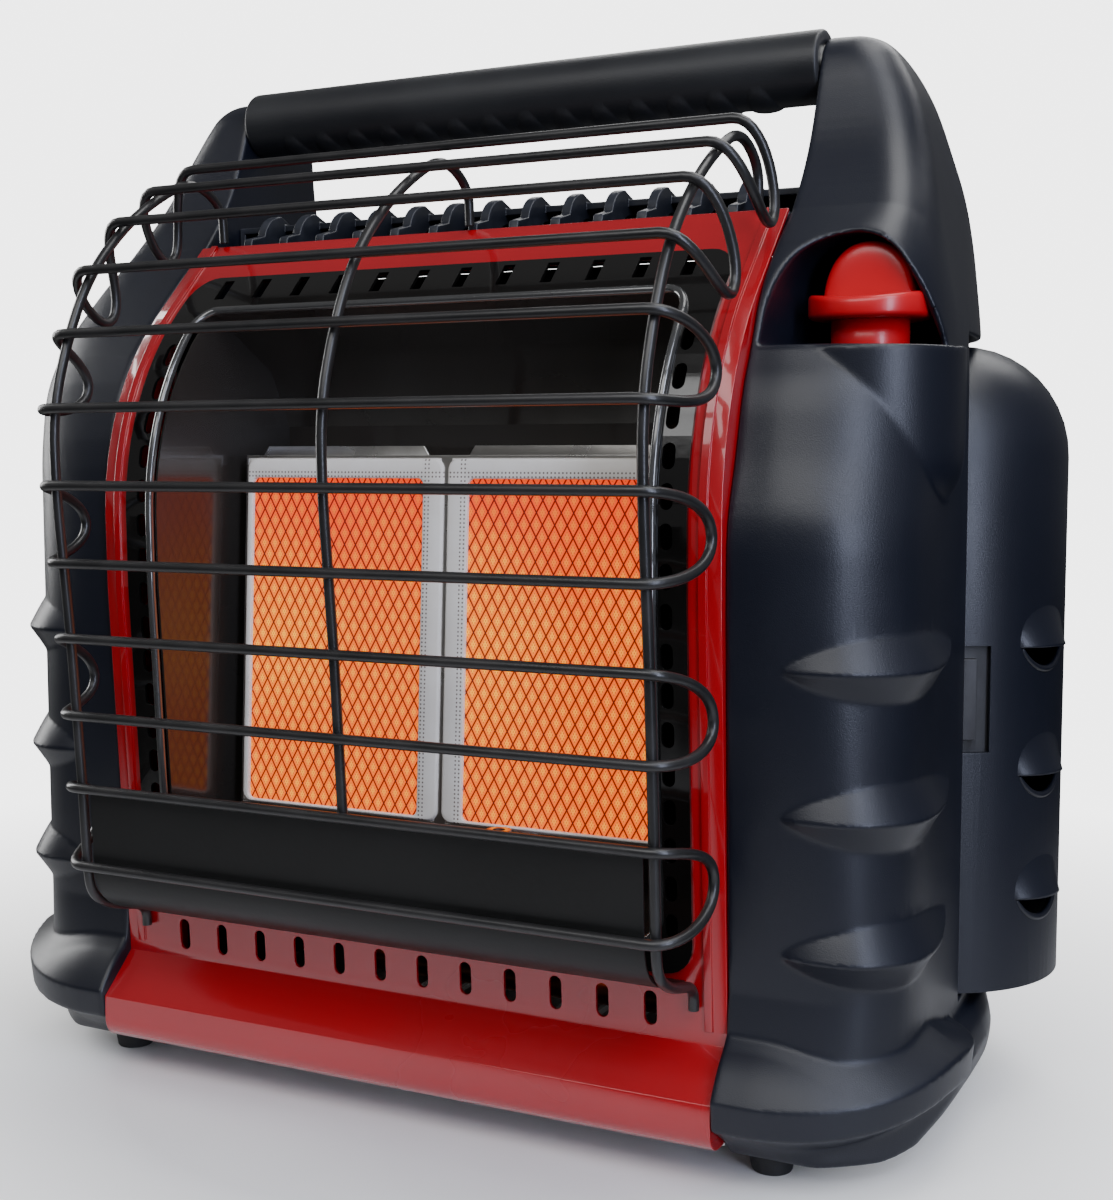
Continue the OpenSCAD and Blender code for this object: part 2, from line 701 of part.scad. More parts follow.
module guard_uprights() {
    top = [for (i = [0:11]) inside_row(i)];
    rest = [top_edge[0] - 2.2, top_edge_z + wire_d / 2 - 0.5];
    color("black") placed() for (s = [-1, 0, 1]) {
        foot = s == 0 ? [] : concat([top[11], [-36, 84], [-27, 77.5], [-16, 74.2]],
            [[-6, 72], [front_y(66) - wire_d / 2 - fit, 68], [front_y(62) - wire_d / 2 - fit, 62]]);
        line = concat([rest, rest + [-1, 16]], [for (i = [0:10]) top[i]], foot);
        bar([for (p = line) [s * upright_half, p[0], p[1]]], wire_d);
    }
}

// ---- rear, base and top --------------------------------------------------------

bay_wall_x = door_x - cylinder_d / 2 - 2.5;
bay_top = door_top_z + 1.5;
bay_floor = door_z0 - 1;
panel_low = bay_wall_x - wall - fit;
panel_high = side_x - fit;
tray_in_l = 2 * cell_l + 8;
tray_in_h = 2 * cell_d + 3;
tray_in_d = cell_d + 1.5;
tray_z = 26;
tray_w = 2;
door_plate_h = tray_in_h + 2 * tray_w + 6;
door_plate_w = tray_in_l + 2 * tray_w + 8;

panel_step = bay_top + wall + fit;
panel_foot = bay_floor - wall - fit;
panel_return = 66;
panel_half = [[panel_high, nose_z], [panel_high, panel_foot], [panel_low, panel_foot],
    [panel_low, panel_step], [panel_high, panel_step], [panel_high, top_edge_z]];
panel_corners = concat(panel_half, [for (c = backward(panel_half)) [-c[0], c[1]]]);

module rear_panel() {
    color("dimgray") placed() difference() {
        union() {
            along_y(rear_skin - sheet, rear_skin) polygon([for (c = panel_corners) c]);
            translate([-panel_low, rear_skin - 14, nose_z]) cube([2 * panel_low, 14, sheet]);
            // Upper side walls, bent forward between the side covers.
            for (s = [-1, 1]) mirrored(s) translate([panel_high - sheet, rear_skin - panel_return, panel_step])
                cube([sheet, panel_return, top_edge_z - panel_step]);
        }
        // Air slots in front of the fan.
        for (r = [14:9:41]) for (a = [0:1:(r < 20 ? 3 : 7)])
            translate([0, rear_skin, fan_z]) rotate([0, a * (r < 20 ? 90 : 45), 0])
                translate([r, 0, 0]) along_y(-sheet - 1, 1) oblong(5, r < 20 ? 12 : r * 0.6);
        // Rows of vent louvres above and below the fan.
        for (i = [-5:5], z = [fan_z + 66, fan_z - 72]) translate([i * 16, rear_skin, z])
            along_y(-sheet - 1, 1) oblong(5, 26);
        translate([0, rear_skin, tray_z + tray_in_h / 2]) along_y(-sheet - 1, 1)
            square([tray_in_l + 2 * tray_w + fit, tray_in_h + 2 * tray_w + fit], center = true);
        // Notches for the battery door's hinges.
        for (s = [-1, 1]) translate([s * door_plate_w / 4, rear_skin, door_pin_z + 1.2])
            along_y(-sheet - 1, 1) square([barrel_l + 14, barrel_d + 3.6], center = true);
        translate([switch_x, rear_skin, switch_z]) along_y(-sheet - 1, 1)
            square([switch_w + fit, switch_h + fit], center = true);
        translate([jack_x, rear_skin + 1, switch_z]) rotate([90, 0, 0]) cylinder(d = 8 + 2 * fit, h = sheet + 2);
        for (p = rear_screws) translate([p[0], rear_skin + 1, p[1]]) rotate([90, 0, 0])
            cylinder(d = screw_d + fit, h = sheet + 2);
    }
}

pan_t = 1.5;
module base_pan() {
    color("dimgray") placed() {
        difference() {
            translate([-side_x + fit, 0, nose_z - pan_t]) cube([casing_w - 2 * fit, rear_skin, pan_t]);
            for (i = [-4:4], y = [70, 120]) translate([i * 18, y, nose_z - 3])
                linear_extrude(6) rotate(0) oblong(5, 30);
        }
        for (s = [-1, 1]) translate([s * (panel_low - 6) - sheet / 2, flange_d + 30, nose_z])
            cube([sheet, 60, 14]);
    }
}

rib_count = 13;
rib_pitch = 19.1;
rib_t = 4.5;
grille_z = top_edge_z + 12;
grille_y = top_edge[0] + 27;
module top_grille() {
    foot = top_edge[0] + 1.5;
    color("darkslategray") placed() {
        // End walls between the side covers.
        for (s = [-1, 1]) mirrored(s) along_x(side_x - fit - wall, side_x - fit) polygon(
            [[grille_y, top_edge_z + fit], [grille_y, grille_z], [rear_skin - 14, grille_z],
            [rear_skin - 4, grille_z - 3], [rear_skin, grille_z - 9], [rear_skin, top_edge_z + fit]]);
        along_x(-side_x + fit, side_x - fit) polygon(concat(
            [[grille_y, grille_z - wall], [grille_y, grille_z]],
            [[rear_skin - 14, grille_z], [rear_skin - 4, grille_z - 3], [rear_skin, grille_z - 9]],
            [[rear_skin, top_edge_z + fit], [rear_skin - wall, top_edge_z + fit]],
            [[rear_skin - wall, grille_z - 9], [rear_skin - 7, grille_z - wall - 2], [rear_skin - 14, grille_z - wall]]));
        along_x(-side_x + fit, side_x - fit)
            polygon([[foot, top_edge_z - 10], [foot + 3, top_edge_z - 10], [foot + 3, top_edge_z - 1], [foot, top_edge_z - 1]]);
        for (i = [0:rib_count - 1]) {
            x = (i - (rib_count - 1) / 2) * rib_pitch;
            along_x(x - rib_t / 2, x + rib_t / 2) polygon(concat(
                [[foot, top_edge_z - 1], [foot + 1, top_edge_z + 3]],
                arc([grille_y - 2, top_edge_z + 2], 13.5, 165, 90, 6),
                [[grille_y + 6, grille_z], [grille_y + 6, grille_z - wall - 3], [grille_y, grille_z - wall - 4]],
                [[foot + 6, top_edge_z - 6], [foot + 3, top_edge_z - 8]]));
        }
    }
}

// ---- side covers ---------------------------------------------------------------

grip_z = height - grip_d / 2;
base_top = 62;
cover_r = 54;
base_r = 98;
cover_front_y = -8;
base_front_y = -18;

// Side view of a cover: the casing's front line, the post and the back.
cover_side = concat(
    [[30, 8], [3, 8], [-2, 15], [6 - nose_out, 21.5], [-nose_out - 1, 28], [-nose_out - 1.5, 35]],
    [[2 - nose_out, crease_z - 5.5], [-2, crease_z + 5]],
    [for (z = [70:34:bend_z - 4]) [front_y(z), z]],
    [for (z = [bend_z + 8:12:top_edge_z - 8]) [front_y(z), z]],
    [[top_edge[0] + 2, top_edge_z], [grip_y - 32, height - 62], [grip_y - 22, height - 46]],
    [[grip_y - 15, height - 28], [grip_y - 11.5, height - 14], [grip_y - 7, height - 4]],
    [[grip_y + 3, height], [grip_y + 20, height], [grip_y + 34, height - 6], [grip_y + 42, height - 16]],
    [[grip_y + 44, height - 44], [grip_y + 50, height - 64], [grip_y + 64, height - 84]],
    [[body_d - 18, height - 104], [body_d - 5, height - 122], [body_d, height - 142], [body_d, 14], [body_d - 6, 8]]);

// Front view of the upper cover, from the casing's side to the outside.
cover_front = [[side_x, base_top - 20], [cover_x, base_top - 20], [cover_x, bay_top - 9], [cover_x - 2, bay_top + 6],
    [cover_x - 9, bay_top + 34], [cover_x - 16, bay_top + 61], [cover_x - 24, height - 35],
    [cover_x - 29, height - 23], [cover_x - 37, height - 9], [cover_x - 46, height - 2],
    [cover_x - 54, height], [side_x, height]];

// Front view of the flared base.
base_front = [[side_x, 8], [base_x - 27, 8], [base_x - 15, 15], [base_x - 8, 26], [base_x - 2, 38],
    [base_x, 48], [base_x - 3, base_top - 2], [cover_x - 1, base_top + 12], [side_x, base_top + 12]];

// Plans of the cover and the base: a round front corner and a back that draws in.
cover_plan = concat([[side_x - 9, cover_front_y]],
    arc([cover_x - cover_r, cover_front_y + cover_r], cover_r, 270, 360, 10),
    [[cover_x, knob_y + 22], [cover_x - 1, door_y - 47], [cover_x - 3, door_y - 34], [cover_x - 6, door_y - 20],
    [cover_x - 12, door_y - 4], [cover_x - 21, door_y + 12], [cover_x - 34, door_y + 28],
    [cover_x - 50, body_d - 20], [cover_x - 62, body_d - 8], [side_x, body_d], [side_x - 9, body_d]]);
base_plan = concat([[side_x - 9, base_front_y]],
    arc([base_x - base_r, base_front_y + base_r], base_r, 270, 360, 10),
    [[base_x - 3, door_y - 45], [base_x - 9, door_y - 20], [base_x - 18, door_y + 5], [base_x - 26, door_y + 30],
    [base_x - 34, body_d - 12], [base_x - 44, body_d], [side_x - 9, body_d]]);

module from_views(side, front, plan, inset) {
    intersection() {
        along_x(side_x - 5, base_x + 1) offset(delta = -inset) polygon(side);
        along_y(-nose_out - 1, body_d + 1) offset(delta = -inset) polygon(front);
        linear_extrude(height + 10) offset(delta = -inset) polygon(plan);
    }
}

// Boss below the knob's shelf: a disc drawn down to a point at the corner.
module shelf_boss(inset) {
    difference() {
        hull() {
            translate([knob_x, knob_y - 6, shelf_z - wall]) cylinder(r = 37 - inset, h = wall, $fn = hull_fn);
            translate([cover_x - 7, knob_y - 16, shelf_z - 48]) sphere(r = 6 - inset, $fn = 16);
        }
        if (inset > 0) translate([0, 0, shelf_z - wall]) cube([base_x, body_d, wall + 1]);
    }
}

module cover_solid(inset, knob) {
    from_views(cover_side, cover_front, cover_plan, inset);
    from_views(cover_side, base_front, base_plan, inset);
    if (knob) shelf_boss(inset);
}

// Alcove over the knob: an arch from the front, a rounded wall behind the knob.
niche_turn = 5;
niche_back = knob_d / 2 + 4;
module niche(grow) {
    intersection() {
        translate([knob_x, knob_y, 0]) rotate(niche_turn) along_y(-80, niche_back + grow)
            polygon(concat([[-niche_half - grow, shelf_z - grow]],
                [for (a = [170:-10:10]) [(niche_half + grow) * cos(a) * (1 - 0.12 * sin(a)),
                    shelf_z + (knob_h + 3 + grow) * pow(sin(a), 0.75)]],
                [[niche_half + grow, shelf_z - grow]]));
        translate([0, 0, shelf_z - grow]) linear_extrude(knob_h + 3 + 2 * grow) offset(delta = grow) polygon(concat(
            arc([knob_x, knob_y], niche_back, 0, 180, 12),
            [[side_x + wall, 18], [side_x + wall, -60], [base_x + 20, -60], [base_x + 20, knob_y - 5],
            [cover_x - 1, knob_y - 5]]));
    }
}

ear_x = valve_w / 2 + 5;
tab_w = 12;
module side_cover_shell(knob) {
    difference() {
        union() {
            difference() {
                cover_solid(0, knob);
                // Hollow inside, open to the casing up to its rear top edge.
                cover_solid(wall, knob);
                intersection() {
                    translate([side_x - 5, -nose_out, 8 + wall])
                        cube([wall + 6, body_d + nose_out, top_edge_z - 8 - 2 * wall]);
                    along_x(side_x - 5, side_x + wall + 1) offset(delta = -wall) polygon(cover_side);
                }
            }
            intersection() {
                cover_solid(0, knob);
                union() {
                    // Inner wall of the post, above the casing.
                    translate([side_x, 0, top_edge_z - wall]) cube([wall, body_d, height]);
                    if (knob) niche(wall);
                    // Boss round the end of the handle tube.
                    translate([side_x, grip_y, grip_z]) rotate([0, 90, 0])
                        cylinder(d = tube_d + 8, h = tube_reach + 6);
                }
            }
            bay_walls(knob);
            // Columns that carry the valve under the shelf.
            if (knob) for (s = [-1, 1]) translate([knob_x + s * ear_x, knob_y, valve_z1 + 0.05])
                cylinder(d = 9, h = shelf_z - wall - valve_z1 + 1);
            // Tabs that the rear panel's screws bite into.
            for (p = rear_screws) if (p[0] > 0) translate([panel_low - tab_w, rear_skin - sheet - 8, p[1] - 6])
                cube([tab_w + 1, 8, 12]);
        }
        if (knob) {
            niche(0);
            translate([knob_x, knob_y, shelf_z - wall - 1]) cylinder(d = knob_stem_d + 1.4, h = wall + 2);
        }
        bay_cut();
        translate([side_x - 1, grip_y, grip_z]) rotate([0, 90, 0])
            cylinder(d = tube_d + 2 * running, h = tube_reach + 1);
        translate([side_x, grip_y, grip_z]) rotate([0, 90, 0]) cylinder(d = screw_d + fit, h = tube_reach + 7);
        translate([swivel_x, bay_y0 - wall - 1, swivel_z]) rotate([-90, 0, 0])
            cylinder(d = stub_d + 1, h = wall + 2);
        for (p = rear_screws) if (p[0] > 0) translate([p[0], rear_skin, p[1]]) rotate([90, 0, 0])
            cylinder(d = screw_d, h = 12);
    }
}

// Walls of the cylinder bay: front, inner side, roof and floor.
module bay_walls(knob) {
    intersection() {
        union() {
            translate([bay_wall_x - wall, bay_y0 - wall, bay_floor - wall])
                cube([cover_x - bay_wall_x + wall, wall, bay_top - bay_floor + 2 * wall]);
            translate([bay_wall_x - wall, bay_y0 - wall, bay_floor - wall])
                cube([wall, body_d - bay_y0 + wall, bay_top - bay_floor + 2 * wall]);
            translate([bay_wall_x - wall, bay_y0 - wall, bay_top])
                cube([cover_x - bay_wall_x + wall, body_d - bay_y0 + wall, wall]);
            translate([bay_wall_x - wall, bay_y0 - wall, bay_floor - wall])
                cube([base_x - bay_wall_x + wall, body_d - bay_y0 + wall, wall]);
        }
        union() {
            cover_solid(0, knob);
            translate([bay_wall_x - wall, 0, 0]) cube([side_x - bay_wall_x + wall + 1, body_d, height]);
        }
    }
    // Rear post that the hinges hang on, with an ear above and below each knuckle.
    translate([bay_wall_x - wall, hinge_y - 5, bay_floor - 1])
        cube([hinge_x - hinge_r - 1 - bay_wall_x + wall, body_d - hinge_y + 5, bay_top - bay_floor + 2]);
}

module hinge_ears() {
    for (z = knuckle_zs, e = [-1, 1])
        translate([hinge_x, hinge_y, z + e * (knuckle_l / 2 + fit) + (e < 0 ? -ear_h : 0)])
            linear_extrude(ear_h) difference() {
                union() {
                    circle(r = hinge_r);
                    translate([-hinge_r - 2, -hinge_r]) square([hinge_r + 2, 2 * hinge_r]);
                }
                circle(d = hinge_pin_d);
            }
}

hinge_r = 5;
ear_h = 7;
hinge_x = door_x + (door_r + 1.5) * cos(door_rear_angle);
hinge_y = body_d - hinge_r - 1;
knuckle_zs = [door_z0 + 34, door_shoulder_z - 26];

module bay_cut() {
    difference() {
        translate([bay_wall_x, bay_y0, bay_floor]) cube([base_x, body_d, bay_top - bay_floor]);
        translate([bay_wall_x - wall, hinge_y - 5, bay_floor - 1])
            cube([hinge_x - hinge_r - 1 - bay_wall_x + wall, body_d, bay_top - bay_floor + 2]);
    }
}

module side_cover(side) {
    color("midnightblue") placed() mirrored(side) {
        side_cover_shell(side > 0);
        hinge_ears();
    }
}

// ---- handle --------------------------------------------------------------------

handle_head_d = 11;
rib_n = 14;
module handle_grip() {
    color("black") placed() translate([-side_x + fit, grip_y, grip_z]) rotate([0, 90, 0]) difference() {
        union() {
            cylinder(d = grip_d, h = casing_w - 2 * fit);
            // Finger ribs along the underside.
            intersection() {
                for (i = [0:rib_n - 1]) translate([0, 0, 22 + i * (casing_w - 50) / (rib_n - 1)])
                    cylinder(d = grip_d + 3, h = 5);
                translate([5, -grip_d, 0]) cube([grip_d, 2 * grip_d, casing_w]);
            }
        }
        translate([0, 0, -1]) cylinder(d = tube_d + 2 * running, h = casing_w + 2);
    }
}

module handle_tube() {
    l = casing_w + 2 * (tube_reach - fit);
    color("silver") placed() translate([-l / 2, grip_y, grip_z]) rotate([0, 90, 0]) difference() {
        cylinder(d = tube_d, h = l);
        translate([0, 0, -1]) cylinder(d = screw_d, h = l + 2);
        translate([0, 0, 24]) cylinder(d = tube_d - 3, h = l - 48);
    }
}

screw_d = 4;
module handle_screws() {
    color("silver") placed() for (s = [-1, 1])
        translate([s * (side_x + tube_reach + 6), grip_y, grip_z]) rotate([0, s * 90, 0])
            screw(handle_head_d - 1, 2.5, screw_d, 18);
}

// ---- cylinder covers -------------------------------------------------------------

dome_h = door_top_z - door_shoulder_z;
function door_outline(r, z0, top) = concat(
    [[0, z0], [r, z0]],
    [for (a = [0:9:90]) [12 + (r - 12) * cos(a), door_shoulder_z + (top - door_shoulder_z) * sin(a)]],
    [[0, top]]);

latch_angle = door_front_angle + 6.2;
latch_z = door_z0 + 117.5;
latch_h = 42;
latch_w = 13;
vent_zs = [door_z0 + 36, door_z0 + 86, door_z0 + 137];
vent_angle = -19;

module door_sector(a0, a1, r) {
    translate([0, 0, door_z0 - 1]) linear_extrude(height) polygon(concat([[0, 0]],
        [for (i = [0:6]) let (a = a0 + (a1 - a0) * i / 6) 2 * r * [cos(a), sin(a)]]));
}

module door_shell() {
    difference() {
        intersection() {
            difference() {
                rotate_extrude() polygon(door_outline(door_r, door_z0, door_top_z));
                translate([0, 0, -1]) rotate_extrude()
                    polygon(door_outline(door_r - door_wall, door_z0 - 2, door_top_z - door_wall));
            }
            door_sector(door_front_angle, door_rear_angle, door_r);
        }
        // Three air vents below raised brows.
        for (z = vent_zs) translate([0, 0, z]) rotate(vent_angle) translate([door_r / 2, 0, 0])
            rotate([90, 0, 90]) linear_extrude(door_r) vent_outline();
        latch_place() translate([0, 0, -latch_h / 2]) translate([door_r - 9, -latch_w / 2, 0])
            cube([18, latch_w, latch_h]);
    }
    // Guides above and below the latch.
    intersection() {
        latch_place() for (s = [-1, 1]) translate([door_r - 11, -latch_w / 2 - 1, s * (latch_h / 2 + 3.6) - 1])
            cube([18, latch_w + 10, 2]);
        difference() {
            translate([0, 0, door_z0]) cylinder(r = door_r - 0.5, h = 200);
            translate([0, 0, door_z0 - 1]) cylinder(r = cylinder_d / 2 + 0.7, h = 202);
        }
        door_sector(door_front_angle + 0.5, door_rear_angle, door_r);
    }
}

// A half moon that hangs from a level edge.
vent_r = 17;
vent_h = 9;
module vent_outline() {
    intersection() {
        translate([0, vent_r - vent_h]) circle(r = vent_r);
        translate([-vent_r, -vent_h]) square([2 * vent_r, vent_h]);
    }
}

module latch_place() {
    translate([0, 0, latch_z]) rotate(latch_angle) children();
}

module tank_cover(side) {
    color("midnightblue") placed() mirrored(side) {
        translate([door_x, door_y, 0]) door_shell();
        for (z = knuckle_zs) translate([hinge_x, hinge_y, z - knuckle_l / 2]) difference() {
            union() {
                cylinder(r = hinge_r, h = knuckle_l);
                translate([0, -hinge_r - 3.5, 0]) cube([4.5, hinge_r + 4, knuckle_l]);
            }
            translate([0, 0, -1]) cylinder(d = hinge_pin_d + 2 * running, h = knuckle_l + 2);
        }
    }
}

module latch_tab(side) {
    r = door_r - door_wall - fit;
    color("black") placed() mirrored(side) translate([door_x, door_y, 0]) latch_place() {
        // Curved plate behind the window.
        intersection() {
            translate([0, 0, -latch_h / 2 - 2]) difference() {
                cylinder(r = r, h = latch_h + 4);
                translate([0, 0, -1]) cylinder(r = r - 2, h = latch_h + 6);
            }
            translate([0, -latch_w / 2 - 1.4, -latch_h]) cube([door_r, latch_w + 7, 2 * latch_h]);
        }
        // Finger tab that stands in the window.
        translate([r - 1.5, -latch_w / 2 + 0.6, -16]) cube([door_r - r + 1, 7, 32]);
    }
}

module hinge_pins() {
    color("silver") placed() for (s = [-1, 1], z = knuckle_zs)
        translate([s * hinge_x, hinge_y, z - knuckle_l / 2 - fit - ear_h])
            cylinder(d = hinge_pin_d, h = knuckle_l + 2 * fit + 2 * ear_h);
}

// ---- fan -----------------------------------------------------------------------

shroud_l = 26;
motor_d = 28;
motor_l = 30;
fan_shaft_d = 2.4;
module fan_shroud() {
    y = rear_skin - sheet - shroud_l;
    color("black") placed() translate([0, y, fan_z]) rotate([-90, 0, 0]) {
        difference() {
            cylinder(d = fan_d + 12, h = shroud_l);
            translate([0, 0, -1]) cylinder(d = fan_d + 7, h = shroud_l + 2);
        }
        difference() {
            union() {
                for (a = [90:120:330]) rotate(a) translate([motor_d / 2 + 1, -3, 0]) cube([fan_d / 2 + 3.5 - motor_d / 2, 6, 4]);
                cylinder(d = motor_d + 5, h = 4);
            }
            translate([0, 0, -1]) cylinder(d = motor_d + 0.2, h = 6);
        }
    }
}

module fan_motor() {
    y = rear_skin - sheet - shroud_l + 4;
    color("silver") placed() translate([0, y - motor_l, fan_z]) rotate([-90, 0, 0]) difference() {
        cylinder(d = motor_d, h = motor_l);
        translate([0, 0, motor_l - 12]) cylinder(d = fan_shaft_d + 2 * running, h = 14);
    }
}

module fan_shaft() {
    y = rear_skin - sheet - shroud_l + 4;
    color("silver") placed() translate([0, y - 10, fan_z]) rotate([-90, 0, 0]) cylinder(d = fan_shaft_d, h = 10 + shroud_l - 6);
}

module fan_impeller() {
    y = rear_skin - sheet - shroud_l + 4;
    color("white") placed() translate([0, y + 1, fan_z]) rotate([-90, 0, 0]) difference() {
        union() {
            cylinder(d = 24, h = 16);
            for (a = [0:360 / 7:359]) rotate(a) translate([10, 0, 8]) rotate([50, 0, 0])
                translate([0, -0.8, -9]) cube([fan_d / 2 - 13, 1.6, 18]);
        }
        translate([0, 0, -1]) cylinder(d = fan_shaft_d, h = 20);
    }
}

switch_x = -70;
switch_z = fan_z + 66 + 26;
switch_w = 19;
switch_h = 12.6;
jack_x = switch_x - 26;
module fan_switch_body() {
    color("black") placed() translate([switch_x, rear_skin, switch_z]) difference() {
        union() {
            along_y(0, 1.5) square([switch_w + 3, switch_h + 3], center = true);
            along_y(-16, 0) square([switch_w, switch_h], center = true);
        }
        along_y(-9, 2) square([switch_w - 3, switch_h - 2.6], center = true);
    }
}

rocker_tilt = 9;
rocker_l = switch_w - 3 - 2;
rocker_w = switch_h - 2.6 - 2 * fit;
module fan_rocker() {
    // The rocker's face is two shallow slopes that meet at its pivot line.
    color("red") placed() translate([switch_x, rear_skin - 3, switch_z]) translate([0, 0, -rocker_w / 2])
        linear_extrude(rocker_w) rotate(rocker_tilt / 2)
            polygon([[-rocker_l / 2, -1], [rocker_l / 2, -1], [rocker_l / 2, 4.6], [0, 3], [-rocker_l / 2, 4.6]]);
}

module power_jack() {
    color("black") placed() translate([jack_x, rear_skin, switch_z]) rotate([90, 0, 0]) difference() {
        union() {
            translate([0, 0, -1.5]) cylinder(d = 11, h = 1.5);
            translate([0, 0, -0.5]) cylinder(d = 8, h = 14);
        }
        translate([0, 0, -2]) difference() {
            cylinder(d = 5.6, h = 12);
            cylinder(d = 2, h = 13);
        }
    }
}

// ---- batteries -------------------------------------------------------------------

module battery_tray() {
    y1 = rear_skin - fit;
    color("black") placed() difference() {
        union() {
            translate([-tray_in_l / 2 - tray_w, y1 - tray_in_d - tray_w, tray_z - tray_w])
                cube([tray_in_l + 2 * tray_w, tray_in_d + tray_w, tray_in_h + 2 * tray_w]);
            // Lugs that hold the door's hinge pins.
            for (s = [-1, 1], e = [-1, 1]) translate([s * door_plate_w / 4 + e * (barrel_l / 2 + fit + 2) - 2, 0, 0]) {
                translate([0, y1 - 3, tray_z - tray_w - 3]) cube([4, 3, 4]);
                translate([0, y1 - 3, door_pin_z - barrel_d / 2]) cube([4, 5.5, barrel_d + 0.6]);
            }
        }
        translate([-tray_in_l / 2, y1 - tray_in_d, tray_z]) cube([tray_in_l, tray_in_d + 1, tray_in_h]);
        for (s = [-1, 1]) translate([s * door_plate_w / 4 - 14, door_pin_y, door_pin_z]) rotate([0, 90, 0])
            cylinder(d = door_pin_d, h = 28);
    }
}

module battery_contacts() {
    y = rear_skin - fit - tray_in_d / 2;
    color("silver") placed() for (s = [-1, 1], k = [0, 1])
        translate([s * tray_in_l / 2, y, tray_z + 1.5 + cell_d * (k + 0.5)]) rotate([0, -s * 90, 0]) {
            cylinder(d = 16, h = 0.5);
            translate([0, 0, 0.5]) cylinder(d1 = 12, d2 = 7, h = 2.5);
        }
}

door_pin_z = tray_z - tray_w - 5;
door_pin_y = rear_skin + 0.2;
barrel_l = 16;
barrel_d = 5.6;
door_pin_d = 2.5;
module battery_door() {
    color("dimgray") placed() difference() {
        union() {
            translate([-door_plate_w / 2, rear_skin + fit, door_pin_z + barrel_d / 2 + 1.2])
                cube([door_plate_w, 2, door_plate_h]);
            for (s = [-1, 1]) translate([s * door_plate_w / 4 - barrel_l / 2, 0, 0]) {
                translate([0, door_pin_y, door_pin_z]) rotate([0, 90, 0]) cylinder(d = barrel_d, h = barrel_l);
                translate([0, rear_skin + fit, door_pin_z]) cube([barrel_l, 2, barrel_d]);
            }
            // Pull lip along the top edge.
            translate([-12, rear_skin + fit, door_pin_z + barrel_d / 2 + door_plate_h - 1]) cube([24, 2.7, 3]);
        }
        for (s = [-1, 1]) translate([s * door_plate_w / 4 - barrel_l, door_pin_y, door_pin_z])
            rotate([0, 90, 0]) cylinder(d = door_pin_d + 2 * running, h = 2 * barrel_l);
    }
}

module battery_door_pin() {
    color("silver") placed() for (s = [-1, 1]) translate([s * door_plate_w / 4 - 12, door_pin_y, door_pin_z])
        rotate([0, 90, 0]) cylinder(d = door_pin_d, h = 24);
}

// ---- tilt switch -----------------------------------------------------------------

tilt_x = -95;
tilt_y = 120;
tilt_pin_d = 3;
tilt_pin_z = nose_z + 28;
module tilt_switch_body() {
    color("gray") placed() difference() {
        translate([tilt_x - 12, tilt_y - 16, nose_z]) cube([24, 32, 36]);
        translate([tilt_x - 9, tilt_y - 13, nose_z + 2]) cube([18, 32, 31]);
        translate([tilt_x - 11, tilt_y, tilt_pin_z]) rotate([0, 90, 0])
            cylinder(d = tilt_pin_d + 2 * running, h = 22);
    }
}

module tilt_pendulum() {
    color("goldenrod") placed() translate([tilt_x, tilt_y, tilt_pin_z]) {
        translate([-10.8, 0, 0]) rotate([0, 90, 0]) cylinder(d = tilt_pin_d, h = 21.6);
        translate([-1, -1, -16]) cube([2, 2, 16]);
        translate([-3, 0, -17]) rotate([0, 90, 0]) cylinder(d = 10, h = 6);
    }
}

// ---- fasteners and feet --------------------------------------------------------

rear_screws = [for (s = [-1, 1], z = [92, 190, 296]) [s * (panel_low - 7), z]];
module casing_screws() {
    color("silver") placed() for (p = rear_screws) translate([p[0], rear_skin, p[1]]) rotate([-90, 0, 0])
        screw(8, 2.4, screw_d, 9);
}

foot_x = side_x + 12;
foot_y = 17;
foot_d = 18;
foot_h = 8;
module rubber_feet() {
    color("black") placed() for (s = [-1, 1], y = [foot_y, body_d - foot_y])
        translate([s * foot_x, y, 0]) cylinder(d1 = foot_d - 3, d2 = foot_d, h = foot_h);
}

front_casing();
enamel_surround();
reflector_box();
heat_shield();
burner_frame();
plaque(-1);  // plaque_left
plaque(1);  // plaque_right
burner_plenum(-1);  // burner_plenum_left
burner_plenum(1);  // burner_plenum_right
mixer_tube(-1);  // mixer_tube_left
mixer_tube(1);  // mixer_tube_right
gas_jets();
gas_manifold();
supply_manifold();
swivel_nuts();
regulator(-1);  // regulator_left
regulator(1);  // regulator_right
valve_body();
return_spring();
spindle_collar();
valve_spindle();
control_knob();
pilot_burner();
pilot_tube();
thermocouple();
igniter_electrode();
guard_rings();
guard_uprights();
rear_panel();
base_pan();
top_grille();
side_cover(-1);  // side_cover_left
side_cover(1);  // side_cover_right
handle_grip();
handle_tube();
handle_screws();
tank_cover(-1);  // tank_cover_left
tank_cover(1);  // tank_cover_right
latch_tab(-1);  // latch_tab_left
latch_tab(1);  // latch_tab_right
hinge_pins();
fan_shroud();
fan_motor();
fan_shaft();
fan_impeller();
fan_switch_body();
fan_rocker();
power_jack();
battery_tray();
battery_contacts();
battery_door();
battery_door_pin();
tilt_switch_body();
tilt_pendulum();
casing_screws();
rubber_feet();
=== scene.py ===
"""Looks of a portable twin-burner propane heater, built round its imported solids.

Shapes are written in millimetres with y = 0 on the casing's front panel plane, and placed() carries
them into the frame's metres. +X is to the right seen from the front, +Y to the back, +Z up.
"""
from functools import partial
import json
import math

import bmesh
import bpy
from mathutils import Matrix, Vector
import numpy as np


